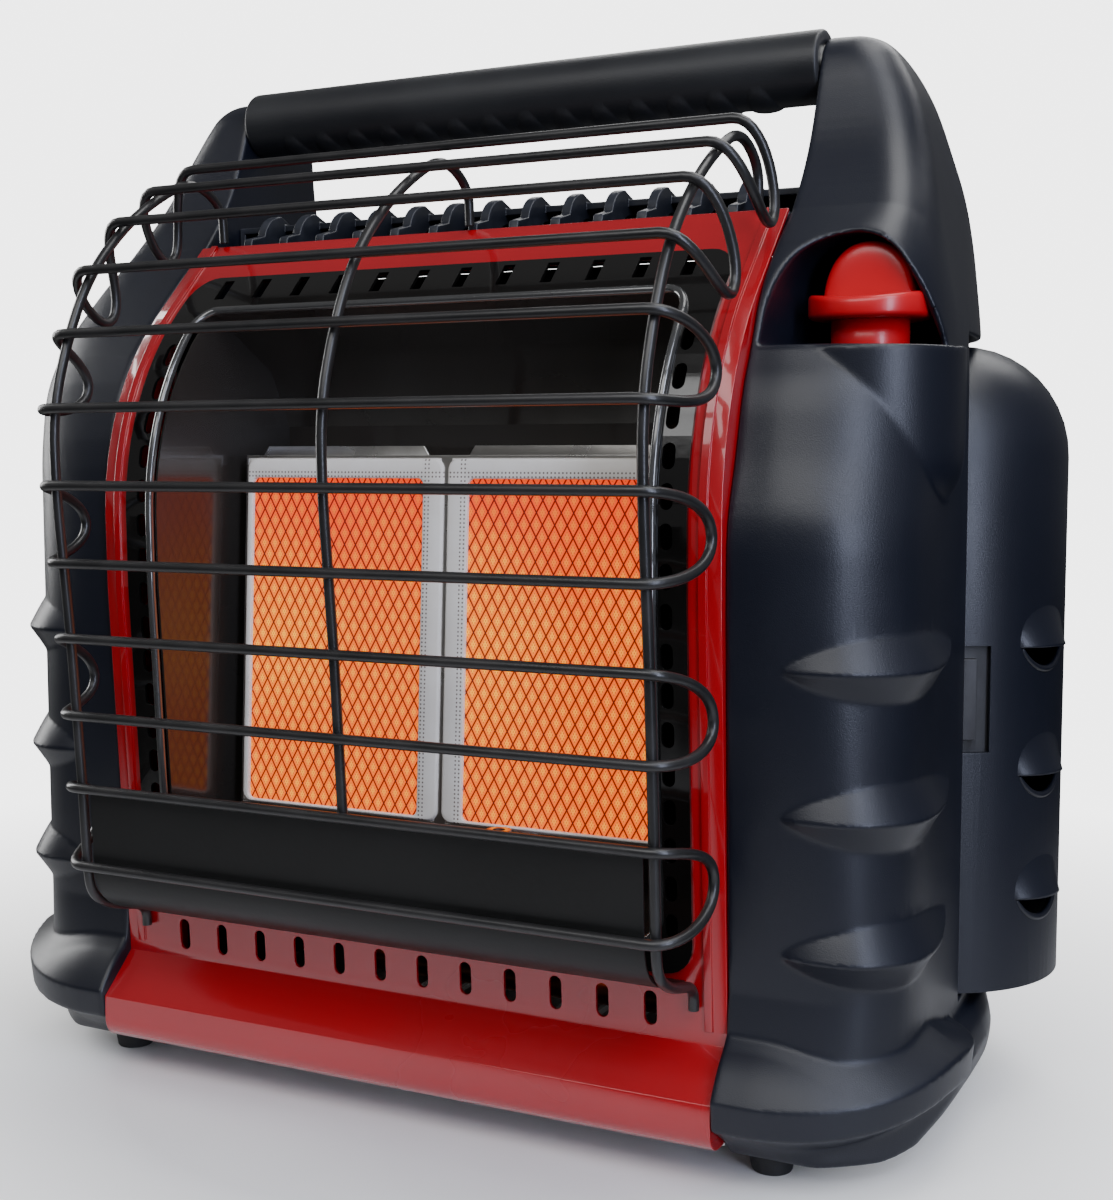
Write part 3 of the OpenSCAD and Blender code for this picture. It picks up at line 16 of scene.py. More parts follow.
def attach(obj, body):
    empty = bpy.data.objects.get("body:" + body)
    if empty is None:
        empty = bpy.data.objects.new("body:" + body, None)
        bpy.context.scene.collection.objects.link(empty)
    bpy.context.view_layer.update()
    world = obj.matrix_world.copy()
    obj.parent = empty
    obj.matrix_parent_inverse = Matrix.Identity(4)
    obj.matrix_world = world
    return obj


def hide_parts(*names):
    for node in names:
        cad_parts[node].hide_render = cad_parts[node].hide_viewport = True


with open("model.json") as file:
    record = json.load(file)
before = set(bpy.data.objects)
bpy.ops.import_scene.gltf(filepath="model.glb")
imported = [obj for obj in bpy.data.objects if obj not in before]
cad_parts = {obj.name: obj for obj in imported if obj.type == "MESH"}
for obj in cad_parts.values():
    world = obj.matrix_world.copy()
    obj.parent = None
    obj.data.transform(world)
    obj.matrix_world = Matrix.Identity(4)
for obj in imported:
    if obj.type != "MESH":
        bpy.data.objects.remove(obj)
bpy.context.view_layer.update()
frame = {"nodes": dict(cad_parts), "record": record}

PANEL_Y = -75.5      # row y of the front panel plane, mm
NODES = frame["nodes"]
BODY_OF = {node: body for body, members in frame["record"]["behaviour"]["bodies"].items() for node in members}
SLOT_OF = {part["node"]: part["material_slot"] for part in frame["record"]["subparts"]}


# ---- meshes ------------------------------------------------------------------

MERGE = 1e-6         # points nearer to each other than this are one, m


def shown(name, data):
    """A new object with its data, put into the scene."""
    piece = bpy.data.objects.new(name, data)
    bpy.context.scene.collection.objects.link(piece)
    return piece


def points_from(x, y, z):
    """A grid of points from three arrays that are spread over each other."""
    return np.stack(np.broadcast_arrays(x, y, z), -1)


def placed(points):
    """Millimetres from the panel plane to metres in the frame: shift y, then divide by 1000."""
    return (np.asarray(points, float) + [0, PANEL_Y, 0]) / 1000


def mesh_piece(name, points, faces, smooth=True):
    """A mesh object from an array of points and an array of three- or four-cornered faces."""
    faces = np.asarray(faces, np.int32)
    sides = faces.shape[1]
    mesh = bpy.data.meshes.new(name)
    mesh.vertices.add(len(points))
    mesh.vertices.foreach_set("co", placed(points).astype(np.float32).ravel())
    mesh.loops.add(faces.size)
    mesh.loops.foreach_set("vertex_index", faces.ravel())
    mesh.polygons.add(len(faces))
    mesh.polygons.foreach_set("loop_start", np.arange(0, faces.size, sides, dtype=np.int32))
    mesh.polygons.foreach_set("use_smooth", np.full(len(faces), smooth))
    mesh.update(calc_edges=True)
    mesh.validate()
    return shown(name, mesh)


def grid_faces(rows, columns, wrap_rows=False, wrap_columns=False):
    """Quads between neighbours of a rows by columns grid of points, wrapping round where asked."""
    i = np.arange(rows if wrap_rows else rows - 1)[:, None]
    j = np.arange(columns if wrap_columns else columns - 1)[None, :]
    i2, j2 = (i + 1) % rows, (j + 1) % columns
    corners = [i * columns + j, i * columns + j2, i2 * columns + j2, i2 * columns + j]
    return np.stack(np.broadcast_arrays(*corners), -1).reshape(-1, 4)


def grid_piece(name, grid, wrap_rows=False, wrap_columns=False, flip=False):
    """A surface through a grid of points; flip turns its faces the other way."""
    rows, columns = grid.shape[:2]
    faces = grid_faces(rows, columns, wrap_rows, wrap_columns)
    return mesh_piece(name, grid.reshape(-1, 3), faces[:, ::-1] if flip else faces)


def joined(name, pieces):
    """Several mesh objects as one, with double points merged and all faces turned outwards."""
    with bpy.context.temp_override(active_object=pieces[0], selected_editable_objects=pieces):
        bpy.ops.object.join()
    pieces[0].name = name
    return tidy_faces(pieces[0])


def tidy_faces(piece, merge=MERGE):
    """Double points merged, then every face turned outwards."""
    work = bmesh.new()
    work.from_mesh(piece.data)
    bmesh.ops.remove_doubles(work, verts=work.verts, dist=merge)
    bmesh.ops.recalc_face_normals(work, faces=work.faces)
    work.to_mesh(piece.data)
    work.free()
    return piece


def unit(v):
    """Vectors brought to length 1."""
    return v / np.maximum(np.linalg.norm(v, axis=-1, keepdims=True), 1e-12)


def round_bar(path, radius, flat_axis, closed=False, sides=12):
    """A round bar along a path: at each point a circle of the radius, square to the path.
    The circle starts from flat_axis, a direction square to the path's own plane."""
    path = np.asarray(path, float)
    if closed:
        run = np.roll(path, -1, 0) - np.roll(path, 1, 0)
    else:
        run = np.gradient(path, axis=0)
    ahead = unit(run)
    flat_axis = np.broadcast_to(np.asarray(flat_axis, float), path.shape)
    side = unit(flat_axis - (flat_axis * ahead).sum(-1, keepdims=True) * ahead)
    up = np.cross(ahead, side)
    turn = np.linspace(0, 2 * np.pi, sides, endpoint=False)
    radius = np.broadcast_to(np.asarray(radius, float), (len(path),))[:, None, None]
    ring = radius * (np.cos(turn)[None, :, None] * side[:, None] + np.sin(turn)[None, :, None] * up[:, None])
    return path[:, None] + ring


def bar_piece(name, path, radius, flat_axis, closed=False, sides=12):
    """A round bar; an open one is closed flat at both ends by a smaller ring and a middle point."""
    grid = round_bar(path, radius, flat_axis, closed, sides)
    if not closed:
        first, last = grid[0].mean(0), grid[-1].mean(0)
        grid = np.concatenate([np.broadcast_to(first, grid[:1].shape), first + (grid[:1] - first) * 0.7, grid,
                               last + (grid[-1:] - last) * 0.7, np.broadcast_to(last, grid[:1].shape)])
    return tidy_faces(grid_piece(name, grid, wrap_rows=closed, wrap_columns=True))


def bezier(a, b, c, d, count):
    """Points on the cubic curve from a to d that leaves towards b and arrives from c."""
    t = np.linspace(0, 1, count)[:, None]
    a, b, c, d = (np.asarray(p, float) for p in (a, b, c, d))
    return (1 - t) ** 3 * a + 3 * (1 - t) ** 2 * t * b + 3 * (1 - t) * t * t * c + t ** 3 * d


def softened(path, rounds=3):
    """A path with its corners cut: each round replaces every run by points a quarter and three
    quarters along it, and keeps the two ends."""
    path = np.asarray(path, float)
    for _ in range(rounds):
        quarter, three = path[:-1] * 0.75 + path[1:] * 0.25, path[:-1] * 0.25 + path[1:] * 0.75
        path = np.concatenate([path[:1], np.stack([quarter, three], 1).reshape(-1, path.shape[1]), path[-1:]])
    return path


def turned(name, profile, centre, sides=96, wave=None):
    """A solid of revolution about a vertical line through centre: (radius, height) turned through
    a full circle. wave(angle, radius, height) gives a height to add."""
    profile = np.asarray(profile, float)
    angle = np.linspace(0, 2 * np.pi, sides, endpoint=False)[None, :]
    radius, height = profile[:, :1], profile[:, 1:]
    lift = wave(angle, radius, height) if wave else 0
    grid = points_from(centre[0] + radius * np.cos(angle), centre[1] + radius * np.sin(angle),
                       centre[2] + height + lift)
    return tidy_faces(grid_piece(name, grid, wrap_columns=True), MERGE / 10)


# ---- level surfaces ------------------------------------------------------------

def outline_field(corners, a, b):
    """Distance in a plane to a closed outline, negative inside: the least distance to its edges,
    with the sign from how often a ray along the first axis crosses it."""
    corners = np.asarray(corners, float)
    near, inside = np.full(np.broadcast(a, b).shape, 1e9), np.zeros(np.broadcast(a, b).shape, bool)
    for p, q in zip(corners, np.roll(corners, -1, 0)):
        run = q - p
        along = np.clip(((a - p[0]) * run[0] + (b - p[1]) * run[1]) / (run @ run + 1e-12), 0, 1)
        near = np.minimum(near, np.hypot(a - p[0] - along * run[0], b - p[1] - along * run[1]))
        if run[1]:
            crosses = ((p[1] > b) != (q[1] > b)) & (a < run[0] * (b - p[1]) / run[1] + p[0])
            inside ^= crosses
    return np.where(inside, -near, near)


def both(a, b, soft):
    """The larger of two fields, so what lies in both, with the corner rounded over soft mm."""
    blend = np.maximum(soft - np.abs(a - b), 0)
    return np.maximum(a, b) + blend * blend / (4 * soft)


def either(a, b, soft):
    """The smaller of two fields, so what lies in one or the other, with the crease filled over soft mm."""
    return -both(-a, -b, soft)


CELL_CORNERS = np.array([(i, j, k) for i in (0, 1) for j in (0, 1) for k in (0, 1)])
CELL_EDGES = [(a, b) for a in range(8) for b in range(a + 1, 8)
              if np.abs(CELL_CORNERS[a] - CELL_CORNERS[b]).sum() == 1]


def field_at(field, low, step, points):
    """A field's value between its grid places: the mean of the eight round it, weighted by nearness."""
    place = np.clip((points - low) / step, 0, np.array(field.shape) - 1.001)
    base = place.astype(int)
    part = place - base
    total = np.zeros(len(points))
    for corner in CELL_CORNERS:
        share = np.prod(np.where(corner, part, 1 - part), 1)
        total += share * field[tuple((base + corner).T)]
    return total


def level_piece(name, field, low, step):
    """The surface where a field is zero. Each grid cell that the surface crosses gets one point, the mean
    of where its edges are crossed, then moved along the field's slope onto the zero; each grid
    edge that changes sign gets a quad between the four cells round it."""
    low, step = np.asarray(low, float), float(step)
    solid = field < 0
    cells = tuple(n - 1 for n in field.shape)
    count = sum(solid[i:i + cells[0], j:j + cells[1], k:k + cells[2]].astype(np.int8)
                for i, j, k in CELL_CORNERS)
    crossed = np.argwhere((count > 0) & (count < 8))
    values = np.stack([field[tuple((crossed + c).T)] for c in CELL_CORNERS], 1)
    total, hits = np.zeros((len(crossed), 3)), np.zeros((len(crossed), 1))
    for a, b in CELL_EDGES:
        fa, fb = values[:, a], values[:, b]
        cut = ((fa < 0) != (fb < 0))[:, None]
        t = (fa / np.where(fa == fb, 1, fa - fb))[:, None]
        total += np.where(cut, CELL_CORNERS[a] + t * (CELL_CORNERS[b] - CELL_CORNERS[a]), 0)
        hits += cut
    points = low + (crossed + total / hits) * step
    slope = np.stack(np.gradient(field, step), -1)
    for _ in range(2):
        here = field_at(field, low, step, points)
        tilt = np.stack([field_at(slope[..., k], low, step, points) for k in range(3)], 1)
        move = -(here / np.maximum((tilt ** 2).sum(1), 0.1))[:, None] * tilt
        points += np.clip(move, -0.6 * step, 0.6 * step)
    number = np.full(cells, -1, np.int64)
    number[tuple(crossed.T)] = np.arange(len(crossed))
    quads = []
    for axis in range(3):
        u, v = (axis + 1) % 3, (axis + 2) % 3
        here = [slice(None)] * 3
        there = [slice(None)] * 3
        here[axis], there[axis] = slice(0, -1), slice(1, None)
        start, end = solid[tuple(here)], solid[tuple(there)]
        edge = np.argwhere(start != end)
        edge = edge[(edge[:, u] > 0) & (edge[:, v] > 0) & (edge[:, u] < cells[u]) & (edge[:, v] < cells[v])]
        ring = []
        for du, dv in ((1, 1), (0, 1), (0, 0), (1, 0)):
            cell = edge.copy()
            cell[:, u] -= du
            cell[:, v] -= dv
            ring.append(number[tuple(cell.T)])
        quad = np.stack(ring, 1)
        outward = start[tuple(edge.T)]
        quads.append(np.where(outward[:, None], quad, quad[:, ::-1]))
    return mesh_piece(name, points, np.concatenate(quads))


# ---- materials -----------------------------------------------------------------

def effect_group(name, inputs, outputs, build):
    """A shader node group with named sockets; build(nodes, links, group_in, group_out) fills it."""
    group = bpy.data.node_groups.new(name, "ShaderNodeTree")
    for label, value in inputs.items():
        socket = group.interface.new_socket(label, in_out="INPUT", socket_type="NodeSocketFloat")
        socket.default_value = value
    for label, kind in outputs.items():
        group.interface.new_socket(label, in_out="OUTPUT", socket_type=kind)
    build(group.nodes, group.links, group.nodes.new("NodeGroupInput"), group.nodes.new("NodeGroupOutput"))
    return group


def math_node(nodes, links, kind, first, second=None, clamp=False):
    """The result of a Math node of that kind; first and second are sockets or plain numbers."""
    node = nodes.new("ShaderNodeMath")
    node.operation, node.use_clamp = kind, clamp
    for slot, value in enumerate((first, second)):
        if value is None:
            continue
        if isinstance(value, (int, float)):
            node.inputs[slot].default_value = value
        else:
            links.new(value, node.inputs[slot])
    return node.outputs[0]


def noise_on(nodes, links, scale, detail=2.0):
    """A noise over Object coordinates; scale is a socket or a plain number."""
    noise = nodes.new("ShaderNodeTexNoise")
    links.new(nodes.new("ShaderNodeTexCoord").outputs["Object"], noise.inputs["Vector"])
    if isinstance(scale, (int, float)):
        noise.inputs["Scale"].default_value = scale
    else:
        links.new(scale, noise.inputs["Scale"])
    noise.inputs["Detail"].default_value = detail
    return noise.outputs["Fac"]


def build_grain(nodes, links, group_in, group_out):
    """Moulded or sprayed grain: fine noise for the height, a broad noise for how the tone drifts."""
    links.new(noise_on(nodes, links, group_in.outputs["Grain Scale"], 3), group_out.inputs["Height"])
    links.new(noise_on(nodes, links, group_in.outputs["Drift Scale"], 4), group_out.inputs["Drift"])


def build_wear(nodes, links, group_in, group_out):
    """Lighter sharp edges, partly wear and on the side covers partly a painted highlight: how sharply the
    surface bulges, broken up by noise and lifted above a threshold.
    """
    calc = partial(math_node, nodes, links)
    bulge = nodes.new("ShaderNodeNewGeometry").outputs["Pointiness"]
    broken = calc("MULTIPLY", calc("SUBTRACT", noise_on(nodes, links, 180), 0.5), 0.06)
    lifted = calc("SUBTRACT", calc("ADD", bulge, broken), group_in.outputs["Threshold"])
    links.new(calc("MULTIPLY", lifted, group_in.outputs["Contrast"], True), group_out.inputs["Worn"])


def build_dust(nodes, links, group_in, group_out):
    """Settled dust: more on faces that look up, patchy by a noise."""
    calc = partial(math_node, nodes, links)
    facing = nodes.new("ShaderNodeSeparateXYZ")
    links.new(nodes.new("ShaderNodeNewGeometry").outputs["Normal"], facing.inputs[0])
    up = calc("MULTIPLY", facing.outputs["Z"], noise_on(nodes, links, 35, 6), True)
    links.new(calc("MULTIPLY", up, group_in.outputs["Amount"], True), group_out.inputs["Dust"])


GRAIN = effect_group("moulded_grain", {"Grain Scale": 1200, "Drift Scale": 20},
                     {"Height": "NodeSocketFloat", "Drift": "NodeSocketFloat"}, build_grain)
WEAR = effect_group("edge_wear", {"Threshold": 0.53, "Contrast": 12}, {"Worn": "NodeSocketFloat"}, build_wear)
DUST = effect_group("settled_dust", {"Amount": 0.3}, {"Dust": "NodeSocketFloat"}, build_dust)


def placed_group(nodes, group, **values):
    """One of the effect groups, placed in a material with its own values."""
    node = nodes.new("ShaderNodeGroup")
    node.node_tree = group
    for label, value in values.items():
        node.inputs[label.replace("_", " ")].default_value = value
    return node


def mixed(nodes, links, share, first, second):
    """A colour between two, by a share."""
    mix = nodes.new("ShaderNodeMix")
    mix.data_type = "RGBA"
    links.new(share, mix.inputs["Factor"])
    for socket, value in ((mix.inputs["A"], first), (mix.inputs["B"], second)):
        if isinstance(value, (tuple, list)):
            socket.default_value = (*value[:3], 1)
        else:
            links.new(value, socket)
    return mix.outputs["Result"]


def ranged(nodes, links, value, low, high, from_low=0.0, from_high=1.0):
    """A value carried from one range to another."""
    node = nodes.new("ShaderNodeMapRange")
    links.new(value, node.inputs["Value"])
    node.inputs["From Min"].default_value, node.inputs["From Max"].default_value = from_low, from_high
    node.inputs["To Min"].default_value, node.inputs["To Max"].default_value = low, high
    return node.outputs["Result"]


DRIFT_SPAN = (0.35, 0.65)      # the part of the broad noise over which the tone drifts


def finish_material(name, tone, second_tone, rough, metallic=0.0, coat=0.0, coat_rough=0.05, specular=0.5,
                    grain=1200, grain_height=0.0, drift=20, edge_tone=None, wear=(0.53, 12), dust=0.0,
                    dust_tone=(0.35, 0.34, 0.33)):
    """The object's usual finish: two tones that drift into each other, roughness that drifts with them,
    grain as a bump, a lighter tone on sharp edges and a little dust. The edge tone is wear, and on the side
    covers partly a painted highlight."""
    material = bpy.data.materials.new(name)
    material.use_nodes = True
    nodes, links = material.node_tree.nodes, material.node_tree.links
    shader = nodes["Principled BSDF"]
    effect = placed_group(nodes, GRAIN, Grain_Scale=grain, Drift_Scale=drift)
    drift_share = ranged(nodes, links, effect.outputs["Drift"], 0, 1, *DRIFT_SPAN)
    colour = mixed(nodes, links, drift_share, tone, second_tone)
    roughness = ranged(nodes, links, effect.outputs["Drift"], *rough, *DRIFT_SPAN)
    if edge_tone:
        edge_share = placed_group(nodes, WEAR, Threshold=wear[0], Contrast=wear[1]).outputs["Worn"]
        colour = mixed(nodes, links, edge_share, colour, edge_tone)
    if dust:
        settled = placed_group(nodes, DUST, Amount=dust).outputs["Dust"]
        colour = mixed(nodes, links, settled, colour, dust_tone)
        duller = math_node(nodes, links, "MULTIPLY", settled, 0.3)
        roughness = math_node(nodes, links, "ADD", roughness, duller, True)
    links.new(colour, shader.inputs["Base Color"])
    links.new(roughness, shader.inputs["Roughness"])
    shader.inputs["Metallic"].default_value = metallic
    shader.inputs["Coat Weight"].default_value = coat
    shader.inputs["Coat Roughness"].default_value = coat_rough
    shader.inputs["Specular IOR Level"].default_value = specular
    if grain_height:
        bump = nodes.new("ShaderNodeBump")
        bump.inputs["Distance"].default_value = grain_height
        bump.inputs["Strength"].default_value = 1
        links.new(effect.outputs["Height"], bump.inputs["Height"])
        links.new(bump.outputs["Normal"], shader.inputs["Normal"])
    return material


FINISH_VALUES = {
    "red_enamel": dict(
        tone=(0.40, 0.002, 0.008), second_tone=(0.35, 0.002, 0.007), rough=(0.20, 0.28), coat=1.0,
        coat_rough=0.04, grain=160, grain_height=0.00004, drift=8),
    "black_enamel": dict(
        tone=(0.0035, 0.0032, 0.003), second_tone=(0.005, 0.0045, 0.004), rough=(0.10, 0.20), coat=0.6,
        coat_rough=0.05, grain=260, grain_height=0.00003, drift=16),
    "heat_darkened_steel": dict(
        tone=(0.022, 0.020, 0.018), second_tone=(0.030, 0.026, 0.023), rough=(0.14, 0.26), coat=0.4,
        grain=400, grain_height=0.00003, drift=11),
    # The lip's grey metallic tone is a painted highlight: the real rolled lip is black enamel, made lighter
    # here so it reads as a bright line.
    "lip_painted_highlight": dict(
        tone=(0.12, 0.12, 0.118), second_tone=(0.10, 0.10, 0.098), rough=(0.14, 0.22), metallic=0.6,
        coat=1.0, grain=500, grain_height=0.00002, drift=30),
    "satin_enamel": dict(
        tone=(0.006, 0.006, 0.0055), second_tone=(0.008, 0.008, 0.0075), rough=(0.36, 0.46), specular=0.35,
        grain=500, grain_height=0.00005, drift=14),
    "bright_steel": dict(
        tone=(0.62, 0.60, 0.57), second_tone=(0.50, 0.48, 0.45), rough=(0.22, 0.38), metallic=1.0,
        grain=900, grain_height=0.00002, drift=30, edge_tone=(0.8, 0.79, 0.76)),
    "plated_steel": dict(
        tone=(0.50, 0.50, 0.48), second_tone=(0.42, 0.42, 0.41), rough=(0.30, 0.46), metallic=1.0,
        grain=1500, grain_height=0.00002, drift=24, edge_tone=(0.7, 0.7, 0.68)),
    "brass": dict(
        tone=(0.70, 0.46, 0.17), second_tone=(0.56, 0.36, 0.13), rough=(0.22, 0.36), metallic=1.0,
        grain=800, grain_height=0.00002, drift=40, edge_tone=(0.85, 0.65, 0.35)),
    "copper_pipe": dict(
        tone=(0.62, 0.30, 0.17), second_tone=(0.44, 0.22, 0.14), rough=(0.26, 0.42), metallic=1.0,
        grain=900, grain_height=0.00002, drift=35),
    "cast_alloy": dict(
        tone=(0.52, 0.52, 0.52), second_tone=(0.42, 0.42, 0.43), rough=(0.42, 0.58), metallic=0.9,
        grain=500, grain_height=0.00012, drift=30),
    "red_plastic": dict(
        tone=(0.62, 0.005, 0.013), second_tone=(0.55, 0.005, 0.011), rough=(0.26, 0.34), coat=0.2,
        coat_rough=0.12, grain=700, grain_height=0.00002, drift=18),
    "white_ceramic": dict(
        tone=(0.78, 0.76, 0.72), second_tone=(0.70, 0.67, 0.62), rough=(0.34, 0.5), grain=900,
        grain_height=0.00003, drift=60),
    "black_wire": dict(
        tone=(0.012, 0.012, 0.012), second_tone=(0.019, 0.018, 0.018), rough=(0.30, 0.42), coat=0.15,
        coat_rough=0.3, grain=700, grain_height=0.00006, drift=40, edge_tone=(0.05, 0.045, 0.04),
        wear=(0.56, 8)),
    # The cover's lighter bluish edge tone is partly wear and partly a painted highlight along its edges,
    # shelf and creases.
    "cover_plastic": dict(
        tone=(0.0042, 0.0056, 0.0115), second_tone=(0.0052, 0.0068, 0.0135), rough=(0.33, 0.40),
        specular=0.5, grain=2200, grain_height=0.00007, drift=9, edge_tone=(0.045, 0.05, 0.07),
        wear=(0.55, 9), dust=0.03, dust_tone=(0.06, 0.065, 0.08)),
    "grille_plastic": dict(
        tone=(0.011, 0.013, 0.019), second_tone=(0.014, 0.016, 0.022), rough=(0.28, 0.38), grain=1100,
        grain_height=0.00003, drift=16, edge_tone=(0.05, 0.055, 0.07)),
    "dark_plastic": dict(
        tone=(0.012, 0.012, 0.014), second_tone=(0.017, 0.017, 0.019), rough=(0.42, 0.55), grain=1000,
        grain_height=0.00005, drift=18, edge_tone=(0.05, 0.05, 0.055), dust=0.1),
    "grey_plastic": dict(
        tone=(0.30, 0.31, 0.32), second_tone=(0.26, 0.27, 0.28), rough=(0.4, 0.5), grain=1000,
        grain_height=0.00003, drift=22, dust=0.1),
    "grip_rubber": dict(
        tone=(0.0105, 0.011, 0.013), second_tone=(0.015, 0.016, 0.018), rough=(0.40, 0.50), grain=1500,
        grain_height=0.00007, drift=14, edge_tone=(0.05, 0.05, 0.055)),
    "foot_rubber": dict(
        tone=(0.014, 0.014, 0.015), second_tone=(0.02, 0.02, 0.021), rough=(0.6, 0.75), grain=1300,
        grain_height=0.00006, drift=30, dust=0.3),
    "plaque_border": dict(
        tone=(0.93, 0.90, 0.86), second_tone=(0.88, 0.84, 0.79), rough=(0.38, 0.5), grain=700,
        grain_height=0.00004, drift=60),
}
FINISHES = {name: finish_material(name, **values) for name, values in FINISH_VALUES.items()}


DIAMOND_W, DIAMOND_H = 0.0055, 0.0098      # one diamond of the woven screen, m
PORE_STEP = 0.21                           # between pores, as a share of a diamond's side
# How far out in a diamond the wire begins and the bright core ends, how large a pore is squared, and how
# steeply each sets in; then the same for the border's pores.
WIRE_FROM, WIRE_RATE = 0.40, 14
CORE_TO, CORE_RATE = 0.36, 4
PORE_SIZE, PORE_RATE = 0.0052, 330
DOT_SIZE, DOT_RATE = 0.075, 24
HOT_LEFT, HOT_Z = 0.036, 0.192             # the hot spot's middle: left of the plaque's middle, and height, m
HOT_W, HOT_H = 0.034, 0.036                # how far the hot spot reaches, m
COOL_Z = 0.248                             # the height where the glow has fallen to red, m
GLOW_RED, GLOW_ORANGE, GLOW_YELLOW = (1.25, 0.05, 0.0), (1.6, 0.27, 0.0), (2.1, 0.8, 0.0)
GLOW_PORE, GLOW_WIRE = (0.42, 0.06, 0.0), (0.11, 0.001, 0.0)
BORDER_PORES = 0.0017                      # between the border's pores, m
BESIDE_GLOW = (0.0073, 0.0107)             # the pored band between the plaques, from the middle, m
ABOVE_GLOW = (0.2530, 0.2564)              # the pored band above the glow, heights, m
PLAQUE_X = 51.0                            # from the heater's middle to a plaque's, mm


def across_and_up(nodes, links):
    """A point's x and z, from Object coordinates."""
    place = nodes.new("ShaderNodeSeparateXYZ")
    links.new(nodes.new("ShaderNodeTexCoord").outputs["Object"], place.inputs[0])
    return place.outputs["X"], place.outputs["Z"]


def squares(calc, first, second):
    """The sum of two values' squares."""
    return calc("ADD", calc("MULTIPLY", first, first), calc("MULTIPLY", second, second))


def from_half(calc, value):
    """How far a value's fraction lies from a half, with its sign."""
    return calc("SUBTRACT", calc("FRACT", value), 0.5)


def glowing_ceramic():
    """The burning plaque: a woven diamond screen of dark wires in front of glowing ceramic. Two families of
    slanted lines, each the fold of a slanted coordinate, make the screen; nine dots in each diamond
    are the pores; the glow runs from red at the top to yellow low down and in a hot spot at the left."""
    material = bpy.data.materials.new("plaque_ceramic")
    material.use_nodes = True
    nodes, links = material.node_tree.nodes, material.node_tree.links
    shader = nodes["Principled BSDF"]
    calc = partial(math_node, nodes, links)
    across, up = across_and_up(nodes, links)

    def folded(sign):
        """How far a point lies from the middle between two lines of one slanted family, up to a half."""
        slanted = calc("ADD", calc("DIVIDE", across, DIAMOND_W), calc("DIVIDE", up, sign * DIAMOND_H))
        return calc("ABSOLUTE", from_half(calc, slanted))

    def to_pore(fold):
        """How far a fold lies from the nearest of three pores: one in the middle, one on each side."""
        return calc("ABSOLUTE", calc("SUBTRACT", calc("ABSOLUTE", calc("SUBTRACT", fold, PORE_STEP / 2)),
                                     PORE_STEP / 2))

    one, two = folded(1), folded(-1)
    to_wire = calc("MAXIMUM", one, two)
    wire = calc("MULTIPLY", calc("SUBTRACT", to_wire, WIRE_FROM), WIRE_RATE, True)
    core = calc("MULTIPLY", calc("SUBTRACT", CORE_TO, to_wire), CORE_RATE, True)
    from_pore = squares(calc, to_pore(one), to_pore(two))
    pore = calc("MULTIPLY", calc("SUBTRACT", PORE_SIZE, from_pore), PORE_RATE, True)
    from_middle = calc("SUBTRACT", across, calc("MULTIPLY", calc("SIGN", across), PLAQUE_X / 1000))
    from_hot = squares(calc, calc("DIVIDE", calc("ADD", from_middle, HOT_LEFT), HOT_W),
                       calc("DIVIDE", calc("SUBTRACT", up, HOT_Z), HOT_H))
    spot = calc("SUBTRACT", 1.0, calc("MULTIPLY", from_hot, 0.6), True)
    lower = calc("MULTIPLY", calc("SUBTRACT", COOL_Z, up), 17, True)
    unevenness = calc("MULTIPLY", calc("SUBTRACT", noise_on(nodes, links, 22, 3), 0.5), 0.7)
    heat = calc("ADD", calc("MULTIPLY", lower, 0.55), calc("MULTIPLY", spot, 0.45))
    heat = calc("ADD", heat, unevenness, True)
    glow = mixed(nodes, links, heat, GLOW_RED, GLOW_ORANGE)
    brightness = calc("MULTIPLY", core, calc("ADD", 0.15, calc("MULTIPLY", heat, 0.75)))
    bright = mixed(nodes, links, brightness, glow, GLOW_YELLOW)
    pitted = mixed(nodes, links, calc("MULTIPLY", pore, 0.8), bright, GLOW_PORE)
    links.new(mixed(nodes, links, wire, pitted, GLOW_WIRE), shader.inputs["Emission Color"])
    shader.inputs["Emission Strength"].default_value = 1.0
    unlit = mixed(nodes, links, wire, (0.14, 0.03, 0.01), (0.03, 0.006, 0.004))
    links.new(unlit, shader.inputs["Base Color"])
    shader.inputs["Roughness"].default_value = 0.8
    bump = nodes.new("ShaderNodeBump")
    bump.inputs["Distance"].default_value = 0.0008
    links.new(wire, bump.inputs["Height"])
    links.new(bump.outputs["Normal"], shader.inputs["Normal"])
    return material


def pore_the_border(material):
    """Two lines of unlit pores on the pale border, next to the glow: dots on a grid, where the distance from
    the middle or the height lies in the band beside the glowing face."""
    nodes, links = material.node_tree.nodes, material.node_tree.links
    base_colour = nodes["Principled BSDF"].inputs["Base Color"]
    calc = partial(math_node, nodes, links)
    across, up = across_and_up(nodes, links)
    off = [from_half(calc, calc("DIVIDE", place, BORDER_PORES)) for place in (across, up)]
    dot = calc("MULTIPLY", calc("SUBTRACT", DOT_SIZE, squares(calc, *off)), DOT_RATE, True)

    def between(value, band):
        """1 where the value lies in the band, 0 elsewhere."""
        return calc("MULTIPLY", calc("GREATER_THAN", value, band[0]), calc("LESS_THAN", value, band[1]))

    beside = between(calc("ABSOLUTE", across), BESIDE_GLOW)
    share = calc("MULTIPLY", dot, calc("MAXIMUM", beside, between(up, ABOVE_GLOW)))
    links.new(mixed(nodes, links, share, base_colour.links[0].from_socket, (0.20, 0.16, 0.14)), base_colour)


FINISHES["plaque_ceramic"] = glowing_ceramic()
pore_the_border(FINISHES["plaque_border"])


def wear_finish(piece, finish):
    """The piece has that finish and no other."""
    piece.data.materials.clear()
    piece.data.materials.append(FINISHES[finish])
    return piece


def finished(piece, node, finish=None):
    """The piece takes its material slot from the node, and wears that slot's finish or another."""
    return wear_finish(piece, finish or SLOT_OF[node])


